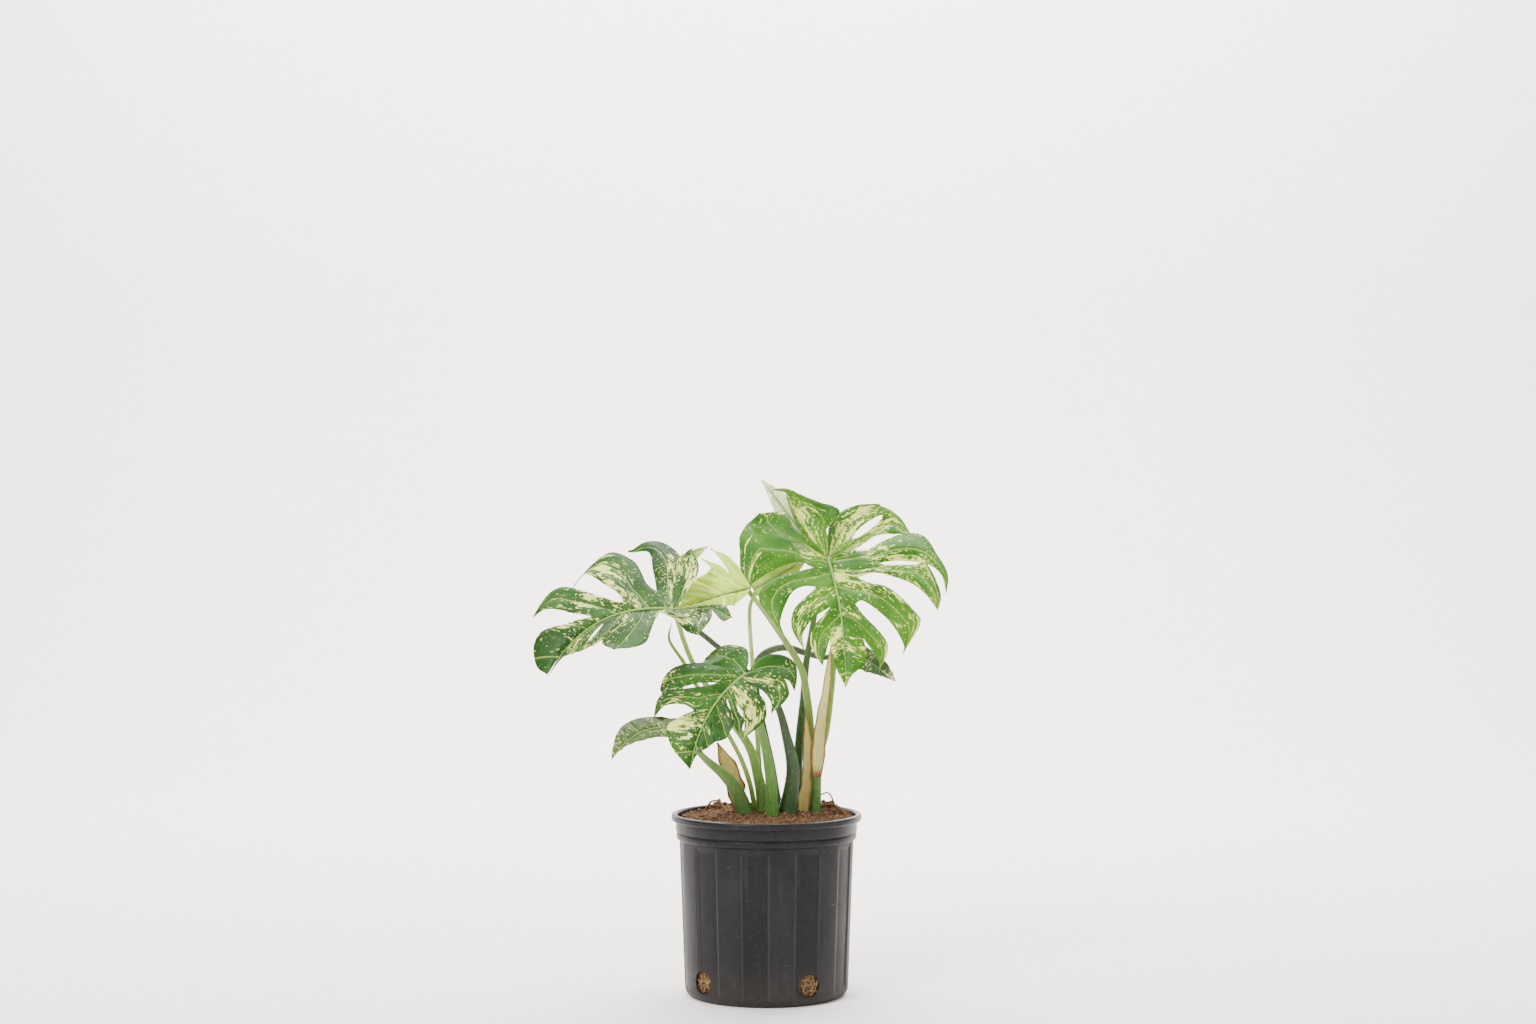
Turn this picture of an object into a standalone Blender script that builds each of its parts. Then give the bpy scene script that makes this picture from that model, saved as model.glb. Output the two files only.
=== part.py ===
"""A potted variegated monstera: a fluted nursery pot, its potting mix, nine blades, their stalks and four sheaths.

Metres, +Z up. The origin is the centre of the pot's flat underside, and -Y is the side that the blades face.
Every height of the plant is counted from the plane of the pot's rim.
"""

import math

import bmesh
import bpy
from mathutils import Vector

# Pot
POT_HEIGHT = 0.2415
RIM_RADIUS = 0.127
LIP_OVERHANG = 0.006
BEAD_INSET = 0.0007
WALL_INSET = 0.0047
WALL_TAPER = 0.0073
BAND_RADIUS = RIM_RADIUS - LIP_OVERHANG
BEAD_RADIUS = BAND_RADIUS - BEAD_INSET
WALL_TOP_RADIUS = BAND_RADIUS - WALL_INSET
WALL_FOOT_RADIUS = WALL_TOP_RADIUS - WALL_TAPER
FOOT_ROUNDING = 0.012
WALL = 0.0018
FLOOR = 0.0024
LIP_HEIGHT = 0.0084
BAND_HEIGHT = 0.0150
BEAD_HEIGHT = 0.0110
BEAD_GROOVE = 0.0015
FLUTES = 10
FLUTE_DEPTH = 0.0018
FLUTE_SLOPE = 3.0
FLUTE_PHASE = 1.5
DRAIN_RADIUS = 0.0148
DRAIN_HEIGHT = 0.027
DRAIN_ANGLES = (-50.0, 31.0, 130.0, 211.0)

# Potting mix
SOIL_DROP = 0.0075
SOIL_DOME = 0.0115
SOIL_STEPS = 40
CLUMPS = ((-0.066, 0.050, 0.0150, 0.011), (0.083, 0.035, 0.0190, 0.014), (0.030, 0.070, 0.0240, 0.006))

# Plant
GAP = 0.0003
BLADE_THICKNESS = 0.0008
STALK_DEPTH = 0.014
VEIN_SINK = 0.010
ROWS = 7

PLASTIC = ("black_plastic", (0.055, 0.057, 0.062, 1), 0.42)
MIX = ("potting_mix", (0.17, 0.095, 0.055, 1), 0.95)
DARK_LEAF = ("dark_green_leaf", (0.055, 0.165, 0.035, 1), 0.45)
BRIGHT_LEAF = ("bright_green_leaf", (0.105, 0.270, 0.040, 1), 0.42)
LIME_LEAF = ("lime_leaf", (0.480, 0.600, 0.150, 1), 0.50)
PALE_LEAF = ("pale_leaf", (0.560, 0.650, 0.400, 1), 0.50)
OLIVE_LEAF = ("olive_leaf", (0.100, 0.165, 0.070, 1), 0.50)
DARK_STALK = ("dark_stalk", (0.090, 0.130, 0.075, 1), 0.45)
GREEN_STALK = ("green_stalk", (0.160, 0.290, 0.070, 1), 0.45)
PALE_STALK = ("pale_stalk", (0.430, 0.540, 0.240, 1), 0.50)
CREAM_SHEATH = ("cream_sheath", (0.620, 0.610, 0.330, 1), 0.60)
TAN_SHEATH = ("tan_sheath", (0.560, 0.380, 0.170, 1), 0.70)


def clear_scene():
    for item in list(bpy.data.objects):
        bpy.data.objects.remove(item, do_unlink=True)


def finish(item, look):
    name, colour, roughness = look
    material = bpy.data.materials.get(name)
    if material is None:
        material = bpy.data.materials.new(name)
        material.use_nodes = True
        shader = material.node_tree.nodes["Principled BSDF"]
        shader.inputs["Base Color"].default_value = colour
        shader.inputs["Roughness"].default_value = roughness
        material.diffuse_color = colour
    item.data.materials.clear()
    item.data.materials.append(material)
    return item


def mesh_object(name, bm, collection=None):
    mesh = bpy.data.meshes.new(name)
    bm.to_mesh(mesh)
    bm.free()
    item = bpy.data.objects.new(name, mesh)
    (collection or bpy.context.scene.collection).objects.link(item)
    return item


def helper_collection():
    group = bpy.data.collections.new("cutters")
    bpy.context.scene.collection.children.link(group)
    group.hide_render = True
    return group


def subtract(item, cutter):
    cutter.hide_render = True
    cutter.display_type = "WIRE"
    cut = item.modifiers.new("cut_" + cutter.name, "BOOLEAN")
    cut.operation = "DIFFERENCE"
    cut.solver = "EXACT"
    cut.object = cutter


# ---------------------------------------------------------------- pot

def pitch_angles():
    """The points round the pot: each rib or groove has four, and the slopes between them take FLUTE_SLOPE degrees."""
    panel = 180.0 / FLUTES
    flat = panel - FLUTE_SLOPE
    found = []
    for index in range(2 * FLUTES):
        start = index * panel + FLUTE_SLOPE / 2 + FLUTE_PHASE
        for part in range(4):
            found.append((math.radians(start + flat * part / 3), index % 2))
    return found


def ring(bm, radius, height, groove, angles):
    verts = []
    for angle, sunk in angles:
        r = radius - groove * sunk
        verts.append(bm.verts.new((r * math.sin(angle), -r * math.cos(angle), height)))
    return verts


def join_rings(bm, first, second):
    count = len(first)
    for i in range(count):
        j = (i + 1) % count
        bm.faces.new((first[i], first[j], second[j], second[i]))


def outer_profile():
    """Radius, height and groove depth up the outside, from the edge of the flat foot to the top of the lip."""
    foot = WALL_FOOT_RADIUS - FOOT_ROUNDING
    points = [(foot, 0.0, 0.0)]
    for step in (1, 2, 3):
        turn = math.radians(30 * step)
        points.append((foot + FOOT_ROUNDING * math.sin(turn), FOOT_ROUNDING * (1 - math.cos(turn)), 0.0))
    lip = POT_HEIGHT - LIP_HEIGHT
    band = lip - BAND_HEIGHT
    bead = band - BEAD_HEIGHT
    slope = (WALL_TOP_RADIUS - WALL_FOOT_RADIUS) / (bead - FOOT_ROUNDING)
    for height, groove in ((0.022, 1.0), (bead - 0.007, 1.0), (bead - 0.002, 0.0), (bead, 0.0)):
        points.append((WALL_FOOT_RADIUS + slope * (height - FOOT_ROUNDING), height, groove * FLUTE_DEPTH))
    points += [
        (BEAD_RADIUS - 0.0008, bead + 0.0020, 0.0),
        (BEAD_RADIUS, bead + 0.0050, 0.0),
        (BEAD_RADIUS - 0.0006, band - 0.0020, 0.0),
        (BAND_RADIUS - BEAD_GROOVE - 0.0006, band, 0.0),
        (BAND_RADIUS, band + 0.0025, 0.0),
        (BAND_RADIUS, lip - 0.0008, 0.0),
        (RIM_RADIUS - 0.0016, lip, 0.0),
        (RIM_RADIUS, lip + 0.0022, 0.0),
        (RIM_RADIUS, POT_HEIGHT - 0.0028, 0.0),
        (RIM_RADIUS - 0.0026, POT_HEIGHT, 0.0),
    ]
    return points


def inner_radius(height):
    """The inside of the wall at a groove, which the potting mix stays clear of."""
    lip = POT_HEIGHT - LIP_HEIGHT - BAND_HEIGHT - BEAD_HEIGHT
    slope = (WALL_TOP_RADIUS - WALL_FOOT_RADIUS) / (lip - FOOT_ROUNDING)
    return WALL_FOOT_RADIUS + slope * (min(height, lip) - FOOT_ROUNDING) - WALL


def inner_profile():
    """The same, down the inside from the lip to the floor."""
    bead = POT_HEIGHT - LIP_HEIGHT - BAND_HEIGHT - BEAD_HEIGHT
    return [
        (BAND_RADIUS + 0.0006, POT_HEIGHT, 0.0),
        (BAND_RADIUS - WALL, POT_HEIGHT - 0.0030, 0.0),
        (BAND_RADIUS - WALL, POT_HEIGHT - LIP_HEIGHT - BAND_HEIGHT, 0.0),
        (inner_radius(bead), bead - 0.0012, 0.0),
        (inner_radius(bead - 0.007), bead - 0.0080, FLUTE_DEPTH),
        (inner_radius(0.022), 0.0220, FLUTE_DEPTH),
        (inner_radius(FOOT_ROUNDING), FOOT_ROUNDING, 0.0),
        (inner_radius(FOOT_ROUNDING) - 0.0045, FLOOR + 0.0030, 0.0),
        (WALL_FOOT_RADIUS - FOOT_ROUNDING, FLOOR, 0.0),
    ]


def build_pot(cutters):
    bm = bmesh.new()
    angles = pitch_angles()
    rings = [ring(bm, *point, angles) for point in outer_profile() + inner_profile()]
    for below, above in zip(rings, rings[1:]):
        join_rings(bm, below, above)
    bm.faces.new(list(reversed(rings[0])))
    bm.faces.new(rings[-1])
    bmesh.ops.recalc_face_normals(bm, faces=bm.faces)
    pot = mesh_object("nursery_pot", bm)
    for number, degrees in enumerate(DRAIN_ANGLES):
        angle = math.radians(degrees)
        bpy.ops.mesh.primitive_cylinder_add(
            vertices=20,
            radius=DRAIN_RADIUS,
            depth=0.03,
            location=(WALL_FOOT_RADIUS * math.sin(angle), -WALL_FOOT_RADIUS * math.cos(angle), DRAIN_HEIGHT),
            rotation=(math.pi / 2, 0, angle),
        )
        cutter = bpy.context.object
        cutter.name = f"drain_{number + 1}"
        for owner in list(cutter.users_collection):
            owner.objects.unlink(cutter)
        cutters.objects.link(cutter)
        subtract(pot, cutter)
    return finish(pot, PLASTIC)


# ---------------------------------------------------------------- potting mix

def soil_top(x, y):
    """Height of the mix, counted from the rim."""
    reach = min(1.0, math.hypot(x, y) / BAND_RADIUS)
    height = SOIL_DOME * (1 - reach**2) - SOIL_DROP
    for cx, cy, spread, rise in CLUMPS:
        height += rise * math.exp(-((x - cx) ** 2 + (y - cy) ** 2) / spread**2)
    return height + 0.0012 * math.sin(x * 260 + 1) * math.cos(y * 230)


def build_soil():
    bm = bmesh.new()
    angles = [(2 * math.pi * i / SOIL_STEPS, 0) for i in range(SOIL_STEPS)]
    bead = POT_HEIGHT - LIP_HEIGHT - BAND_HEIGHT - BEAD_HEIGHT
    foot = FLOOR + GAP
    sunk = FLUTE_DEPTH + GAP
    levels = [
        (WALL_FOOT_RADIUS - FOOT_ROUNDING - GAP, foot),
        (inner_radius(FOOT_ROUNDING) - 0.0065, foot + 0.0032),
        (inner_radius(FOOT_ROUNDING) - sunk, FOOT_ROUNDING + 0.0010),
        (inner_radius(bead) - sunk, bead - 0.0030),
    ]
    rings = [ring(bm, radius, height, 0.0, angles) for radius, height in levels]
    for share in (1.0, 0.9, 0.75, 0.58, 0.4, 0.22):
        verts = []
        for angle, _ in angles:
            r = (BAND_RADIUS - WALL - 2 * GAP) * share
            x = r * math.sin(angle)
            y = -r * math.cos(angle)
            verts.append(bm.verts.new((x, y, POT_HEIGHT + soil_top(x, y))))
        rings.append(verts)
    for below, above in zip(rings, rings[1:]):
        join_rings(bm, below, above)
    bm.faces.new(list(reversed(rings[0])))
    centre = bm.verts.new((0, 0, POT_HEIGHT + soil_top(0, 0)))
    top = rings[-1]
    for i in range(SOIL_STEPS):
        bm.faces.new((top[i], top[(i + 1) % SOIL_STEPS], centre))
    bmesh.ops.recalc_face_normals(bm, faces=bm.faces)
    return finish(mesh_object("potting_mix", bm), MIX)


# ---------------------------------------------------------------- blades

def cut(station, sinus, slit=None):
    """The line between two lobes. It leaves the midrib at station and joins them out to sinus (across, along).

    slit is (start, end, half width, step): a hole along the line, its ends as shares of it. The step raises the
    tipward edge and lowers the other, and may be left out. Lengths are in blade lengths.
    """
    return {"station": station, "sinus": sinus, "slit": slit}


def lobe(stalk_edge, tip, tip_edge):
    """A lobe's outline: points up the edge nearer the stalk, its tip, and points back down the other edge.

    A third number lifts a point off the blade's plane.
    """
    return {"before": stalk_edge, "tip": tip, "after": tip_edge}


def flat3(point):
    return Vector((point[0], point[1], point[2] if len(point) > 2 else 0.0))


def curve_through(points, share):
    """A point at this share of the length of a smooth curve through the points."""
    knots = [flat3(p) for p in points]
    if len(knots) == 2:
        return knots[0].lerp(knots[1], share)
    steps = [(b - a).length for a, b in zip(knots, knots[1:])]
    target = share * sum(steps)
    index = 0
    while index < len(steps) - 1 and target > steps[index]:
        target -= steps[index]
        index += 1
    t = min(1.0, target / max(steps[index], 1e-9))
    p1 = knots[index]
    p2 = knots[index + 1]
    p0 = knots[index - 1] if index > 0 else p1 * 2 - p2
    p3 = knots[index + 2] if index + 2 < len(knots) else p2 * 2 - p1
    bend = (p2 - p0) * t + (p0 * 2 - p1 * 5 + p2 * 4 - p3) * t**2 + (p1 * 3 - p0 - p2 * 3 + p3) * t**3
    return p1 + bend * 0.5


def length_of(points):
    knots = [flat3(p) for p in points]
    return sum((b - a).length for a, b in zip(knots, knots[1:]))


def joined_rows(half):
    """How many of the rows are along the joined part of each line, the same for the lobes on both its sides."""
    found = []
    for index, line in enumerate(half["lines"]):
        beside = []
        if index > 0:
            shape = half["lobes"][index - 1]
            beside.append(length_of((line["sinus"], *shape["after"][::-1], shape["tip"])))
        if index < len(half["lobes"]):
            shape = half["lobes"][index]
            beside.append(length_of((line["sinus"], *shape["before"], shape["tip"])))
        outer = sum(beside) / len(beside)
        inner = length_of([(0, line["station"]), line["sinus"]])
        rows = round(ROWS * inner / (inner + outer))
        found.append(max(4 if line["slit"] else 1, min(ROWS - 2, rows)))
    return found


def row_shares(line, rows):
    if not line["slit"]:
        return [k / rows for k in range(rows + 1)]
    start, end = line["slit"][:2]
    shares = [0.0, start]
    for k in range(1, rows - 2):
        shares.append(start + (end - start) * k / (rows - 2))
    return shares + [end, 1.0]


def line_points(line, rows, toward):
    """The points of a line from the midrib to its sinus. toward is -1 for the lobe before it, and 1 for the one after."""
    root = Vector((0, line["station"], 0))
    end = flat3(line["sinus"])
    across = Vector((end.x, end.y, 0)) - root
    side = Vector((-across.y, across.x, 0)).normalized()
    if side.y < 0:
        side = -side
    found = []
    for index, share in enumerate(row_shares(line, rows)):
        point = root.lerp(end, share)
        if line["slit"] and 1 < index < rows - 1:
            point += side * toward * line["slit"][2]
            point.z += toward * (line["slit"][3] if len(line["slit"]) > 3 else 0.0)
        found.append(point)
    return found


class Blade:
    """Places (across, along, lift) in blade lengths on a blade that hangs from attach to tip and faces a direction."""

    def __init__(self, attach, tip, face, arch=0.08, bow=0.0, fold=(0.0, 0.0), droop=0.15):
        base = Vector((0, 0, POT_HEIGHT))
        self.root = Vector(attach) + base
        along = Vector(tip) + base - self.root
        self.size = along.length
        self.along = along.normalized()
        face = Vector(face)
        self.face = (face - self.along * face.dot(self.along)).normalized()
        self.across = self.face.cross(self.along)
        self.arch = arch
        self.bow = bow
        self.fold = fold
        self.droop = droop

    def place(self, side, point):
        u, v, lift = point
        fold = math.radians(self.fold[0 if side < 0 else 1])
        out = self.across * (side * math.cos(fold)) + self.face * math.sin(fold)
        hump = 4 * v * (1 - v) if v > 0 else 0.0
        rise = self.arch * (hump if v > 0 else 2 * v) - self.droop * u * u + lift
        spot = self.along * v + out * u + self.face * rise + self.across * (self.bow * hump)
        return self.root + spot * self.size

    def underside(self, distance):
        """A point this far below the place where the stalk meets the blade."""
        return self.root - self.face * distance


def patch(bm, blade, side, rows_of_points):
    grid = [[bm.verts.new(blade.place(side, p)) for p in row] for row in rows_of_points]
    for low, high in zip(grid, grid[1:]):
        for c in range(len(low) - 1):
            bm.faces.new((low[c], low[c + 1], high[c + 1], high[c]))


def lobe_rows(before, rows_a, shape, after, rows_b, ribs):
    """The points of a lobe, row by row from the midrib to the tip."""
    first = before["sinus"], *shape["before"], shape["tip"]
    second = after["sinus"], *shape["after"][::-1], shape["tip"]
    edge_a = line_points(before, rows_a, 1)
    edge_b = line_points(after, rows_b, -1)
    for k in range(rows_a + 1, ROWS + 1):
        edge_a.append(curve_through(first, (k - rows_a) / (ROWS - rows_a)))
    for k in range(rows_b + 1, ROWS + 1):
        edge_b.append(curve_through(second, (k - rows_b) / (ROWS - rows_b)))
    columns = max(2, len(ribs) - 1) if before["station"] == after["station"] else len(ribs) - 1
    found = []
    for k in range(ROWS + 1):
        row = []
        for c in range(columns + 1):
            share = c / columns
            if len(ribs) > 1 and k == 0:
                row.append(Vector((0, ribs[c], 0)))
                continue
            point = edge_a[k].lerp(edge_b[k], share)
            width = (edge_b[k] - edge_a[k]).length
            point.z -= VEIN_SINK * math.sin(math.pi * share) * min(1.0, 4 * width)
            row.append(point)
        found.append(row)
    return found


def end_rows(line, joined, edge, ribs):
    """The half of the last lobe on one side of the midrib, row by row from its line to the tip."""
    shares = row_shares(line, joined)
    first = line_points(line, joined, 1)
    outline = line["sinus"], *edge, (0, 1)
    found = [first]
    for k in range(1, len(ribs)):
        root = Vector((0, ribs[k], 0))
        end = curve_through(outline, k / (len(ribs) - 1))
        found.append([root.lerp(end, share) for share in shares])
    return found


def half_blade(bm, blade, side, half, ribs):
    lines = half["lines"]
    rows = joined_rows(half)
    for index, shape in enumerate(half["lobes"]):
        before = lines[index]
        after = lines[index + 1]
        span = [v for v in ribs if before["station"] <= v <= after["station"]]
        if before["station"] == after["station"]:
            span = []
        patch(bm, blade, side, lobe_rows(before, rows[index], shape, after, rows[index + 1], span))
    span = [v for v in ribs if v >= lines[-1]["station"]]
    patch(bm, blade, side, end_rows(lines[-1], rows[-1], half["end"], span))


def all_stations(halves):
    found = {0.0, 1.0}
    for half in halves:
        found.update(line["station"] for line in half["lines"])
    ordered = sorted(found)
    for a, b in zip(ordered, ordered[1:]):
        parts = max(1, round((b - a) / 0.14))
        found.update(a + (b - a) * k / parts for k in range(1, parts))
    return sorted(found)


def build_blade(name, blade, left, right, look):
    bm = bmesh.new()
    ribs = all_stations((left, right))
    half_blade(bm, blade, -1, left, ribs)
    half_blade(bm, blade, 1, right, ribs)
    bmesh.ops.remove_doubles(bm, verts=bm.verts, dist=0.00002)
    bmesh.ops.recalc_face_normals(bm, faces=bm.faces)
    bmesh.ops.triangulate(bm, faces=bm.faces)
    item = mesh_object(name, bm)
    skin = item.modifiers.new("thickness", "SOLIDIFY")
    skin.thickness = BLADE_THICKNESS
    skin.offset = 0.0
    return finish(item, look)


RIGHT = Blade((0.082, -0.010, 0.340), (0.103, -0.100, 0.175), (0, -0.88, 0.48), arch=0.07, bow=0.03)
RIGHT_NEAR = {
    "lines": [
        cut(0.0, (0.03, -0.24)),
        cut(0.0, (0.50, -0.39), slit=(0.38, 0.88, 0.030)),
        cut(0.0, (0.19, -0.05)),
        cut(0.06, (0.68, 0.09), slit=(0.50, 0.95, 0.018)),
        cut(0.14, (0.16, 0.19)),
        cut(0.34, (0.11, 0.41)),
        cut(0.60, (0.13, 0.67)),
    ],
    "lobes": [
        lobe([(0.08, -0.35), (0.23, -0.43), (0.36, -0.44)], (0.43, -0.43), []),
        lobe([(0.57, -0.31)], (0.62, -0.18, -0.02), [(0.39, -0.17), (0.28, -0.11)]),
        lobe([(0.29, -0.05), (0.40, -0.11), (0.55, -0.17), (0.71, -0.15), (0.79, 0.05), (0.81, 0.20)],
             (0.77, 0.33, -0.04), [(0.77, 0.22), (0.74, 0.14)]),
        lobe([(0.70, 0.15), (0.72, 0.27), (0.72, 0.39)], (0.68, 0.48, -0.03),
             [(0.61, 0.35), (0.51, 0.25), (0.30, 0.16)]),
        lobe([(0.25, 0.25), (0.37, 0.30), (0.52, 0.50), (0.54, 0.60)], (0.40, 0.80, -0.03),
             [(0.41, 0.74), (0.32, 0.55), (0.17, 0.39)]),
        lobe([(0.15, 0.49), (0.29, 0.70), (0.29, 0.80)], (0.23, 0.92, -0.02), [(0.23, 0.85), (0.17, 0.74)]),
    ],
    "end": [(0.15, 0.78), (0.12, 0.87), (0.04, 0.93)],
}
RIGHT_FAR = {
    "lines": [
        cut(0.0, (-0.01, -0.19, 0.12)),
        cut(0.0, (0.22, -0.53, 0.10)),
        cut(0.0, (0.05, -0.06, 0.02)),
        cut(0.0, (0.54, -0.38), slit=(0.22, 0.46, 0.020)),
        cut(0.06, (0.11, 0.07)),
        cut(0.20, (0.13, 0.24)),
        cut(0.34, (0.06, 0.41)),
        cut(0.60, (0.10, 0.66)),
    ],
    "lobes": [
        lobe([(-0.12, -0.32, 0.14), (0.04, -0.43, 0.14), (0.22, -0.56, 0.14)], (0.33, -0.58, 0.12),
             [(0.26, -0.55, 0.12)]),
        lobe([], (0.235, -0.55, 0.11), [(0.23, -0.44, 0.12), (0.20, -0.28, 0.12), (0.13, -0.12, 0.08)]),
        lobe([(0.12, -0.18), (0.21, -0.30), (0.24, -0.41), (0.32, -0.46)], (0.43, -0.46), []),
        lobe([(0.60, -0.28), (0.61, -0.15), (0.62, 0.00)], (0.58, 0.13, -0.02), [(0.41, 0.05), (0.22, 0.00)]),
        lobe([(0.26, 0.09), (0.41, 0.12), (0.51, 0.19), (0.54, 0.30)], (0.41, 0.56, -0.02),
             [(0.42, 0.46), (0.32, 0.27), (0.22, 0.22)]),
        lobe([(0.22, 0.31), (0.32, 0.40), (0.35, 0.54)], (0.28, 0.70, -0.02), [(0.28, 0.60), (0.20, 0.49)]),
        lobe([(0.11, 0.46), (0.21, 0.57), (0.23, 0.70)], (0.16, 0.84, -0.01), [(0.13, 0.75)]),
    ],
    "end": [(0.09, 0.76), (0.06, 0.88)],
}

LEFT = Blade((-0.120, -0.042, 0.2735), (-0.285, -0.090, 0.190), (-0.11, -0.76, 0.64), arch=0.10, bow=-0.13,
             fold=(4, 12), droop=0.10)
LEFT_FAR = {
    "lines": [
        cut(0.0, (0.09, -0.12)),
        cut(0.0, (0.25, -0.17)),
        cut(0.06, (0.18, 0.04)),
        cut(0.26, (0.10, 0.29)),
        cut(0.48, (0.06, 0.54)),
    ],
    "lobes": [
        lobe([(0.19, -0.26), (0.30, -0.34)], (0.46, -0.37), [(0.42, -0.29)]),
        lobe([(0.39, -0.25), (0.50, -0.26), (0.63, -0.21), (0.68, -0.10)], (0.65, 0.03, -0.02),
             [(0.58, -0.09), (0.39, -0.03)]),
        lobe([(0.25, 0.07), (0.39, 0.05), (0.51, 0.05), (0.60, 0.12), (0.57, 0.22)], (0.39, 0.52, -0.02),
             [(0.43, 0.40), (0.28, 0.33), (0.18, 0.29)]),
        lobe([(0.12, 0.35), (0.27, 0.47), (0.41, 0.58), (0.44, 0.70)], (0.42, 0.87, -0.02),
             [(0.35, 0.76), (0.19, 0.64), (0.12, 0.58)]),
    ],
    "end": [(0.08, 0.58), (0.15, 0.71), (0.26, 0.88), (0.24, 0.98), (0.12, 1.03)],
}
LEFT_NEAR = {
    "lines": [
        cut(0.0, (0.06, -0.10, 0.03)),
        cut(0.0, (0.20, -0.19, 0.06)),
        cut(0.06, (0.05, 0.11)),
        cut(0.33, (0.10, 0.36)),
        cut(0.40, (0.14, 0.73), slit=(0.30, 0.80, 0.012)),
    ],
    "lobes": [
        lobe([(0.13, -0.18, 0.06), (0.20, -0.29, 0.06)], (0.32, -0.28, 0.03), [(0.34, -0.20, 0.05)]),
        lobe([(0.28, -0.15, 0.07), (0.33, -0.09, 0.06)], (0.35, -0.01, 0.02), [(0.30, 0.05, 0.01), (0.14, 0.06)]),
        lobe([(0.13, 0.17), (0.25, 0.25), (0.37, 0.34), (0.38, 0.45)], (0.32, 0.56), [(0.20, 0.59), (0.15, 0.47)]),
        lobe([(0.15, 0.45), (0.18, 0.56)], (0.17, 0.65), []),
    ],
    "end": [(0.08, 0.80), (0.03, 0.87)],
}

CENTRE = Blade((-0.028, -0.075, 0.190), (-0.098, -0.140, 0.0725), (-0.04, -0.86, 0.50), arch=0.08, bow=-0.08)
CENTRE_FAR = {
    "lines": [
        cut(0.0, (0.03, -0.12)),
        cut(0.0, (0.36, 0.07), slit=(0.16, 0.82, 0.016, 0.045)),
        cut(0.10, (0.46, 0.50), slit=(0.25, 0.72, 0.020)),
        cut(0.42, (0.13, 0.53)),
    ],
    "lobes": [
        lobe([(0.08, -0.21, -0.02), (0.15, -0.26, -0.04), (0.30, -0.23, -0.06), (0.38, -0.13, -0.06)],
             (0.40, 0.00, -0.05), []),
        lobe([(0.42, 0.11), (0.51, 0.20), (0.53, 0.34)], (0.49, 0.48), []),
        lobe([(0.47, 0.58)], (0.44, 0.72, -0.02), [(0.38, 0.59), (0.24, 0.52)]),
    ],
    "end": [(0.24, 0.66), (0.29, 0.76), (0.20, 0.90)],
}
CENTRE_NEAR = {
    "lines": [
        cut(0.0, (0.02, -0.12)),
        cut(0.0, (0.30, -0.13)),
        cut(0.10, (0.07, 0.10)),
        cut(0.20, (0.30, 0.42), slit=(0.55, 0.90, 0.010)),
        cut(0.26, (0.05, 0.30)),
        cut(0.50, (0.16, 0.70)),
    ],
    "lobes": [
        lobe([(0.02, -0.19), (0.08, -0.28), (0.20, -0.34), (0.32, -0.32), (0.40, -0.20)], (0.44, -0.07, -0.02),
             [(0.37, -0.12)]),
        lobe([(0.36, -0.10), (0.43, 0.00), (0.46, 0.12)], (0.44, 0.24, -0.02), [(0.36, 0.14), (0.22, 0.08)]),
        lobe([(0.20, 0.12), (0.33, 0.17), (0.43, 0.30), (0.42, 0.43)], (0.36, 0.56, -0.02), [(0.34, 0.50)]),
        lobe([(0.31, 0.47)], (0.33, 0.56, -0.04), [(0.22, 0.48), (0.12, 0.36)]),
        lobe([(0.10, 0.36), (0.20, 0.43), (0.24, 0.52)], (0.23, 0.62, -0.02), [(0.20, 0.67)]),
    ],
    "end": [(0.10, 0.79), (0.03, 0.88), (0.01, 0.95)],
}

LIME = Blade((-0.024, 0.040, 0.300), (-0.119, 0.025, 0.271), (-0.10, -0.70, 0.70), arch=0.03, droop=0.08)
LIME_FAR = {
    "lines": [
        cut(0.0, (0.06, -0.04)),
        cut(0.0, (0.35, 0.17)),
        cut(0.12, (0.46, 0.45)),
    ],
    "lobes": [
        lobe([(0.40, 0.00), (0.75, 0.10)], (0.95, 0.25), [(0.72, 0.20), (0.50, 0.17)]),
        lobe([(0.55, 0.24)], (0.80, 0.43, -0.02), [(0.56, 0.37)]),
    ],
    "end": [(0.42, 0.62), (0.20, 0.85)],
}
LIME_NEAR = {
    "lines": [
        cut(0.0, (0.06, 0.00)),
        cut(0.30, (0.22, 0.34)),
    ],
    "lobes": [
        lobe([(0.12, 0.06), (0.19, 0.18)], (0.24, 0.28), []),
    ],
    "end": [(0.24, 0.48), (0.18, 0.70)],
}


def plain_half(*widths):
    """Half of a blade with no deep cuts: its half width at five even places from the stalk to the tip."""
    places = (-0.06, 0.12, 0.34, 0.56, 0.78)
    outline = [(width, place) for width, place in zip(widths, places)]
    return {
        "lines": [cut(0.0, (0.6 * widths[0], -0.05)), cut(0.34, outline[2])],
        "lobes": [lobe([outline[0]], outline[1], [])],
        "end": outline[3:],
    }


LOW_LEFT = Blade((-0.117, -0.015, 0.1155), (-0.205, -0.045, 0.0755), (0.05, -0.50, 0.85), arch=0.12, bow=-0.10)
TOP_BACK = Blade((0.072, 0.046, 0.342), (-0.008, 0.066, 0.447), (0, -0.95, 0.30), arch=0.03)
BACK_RIGHT = Blade((0.100, 0.062, 0.217), (0.176, 0.062, 0.172), (0, -0.70, 0.70), arch=0.08)
YOUNG_LEFT = Blade((-0.126, 0.064, 0.270), (-0.077, 0.064, 0.356), (0.10, -0.95, 0.20), arch=0.04, bow=0.26)
LIME_BAND = Blade((-0.017, 0.062, 0.298), (0.056, 0.056, 0.341), (0.10, -0.85, 0.50), arch=-0.03)

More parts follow.
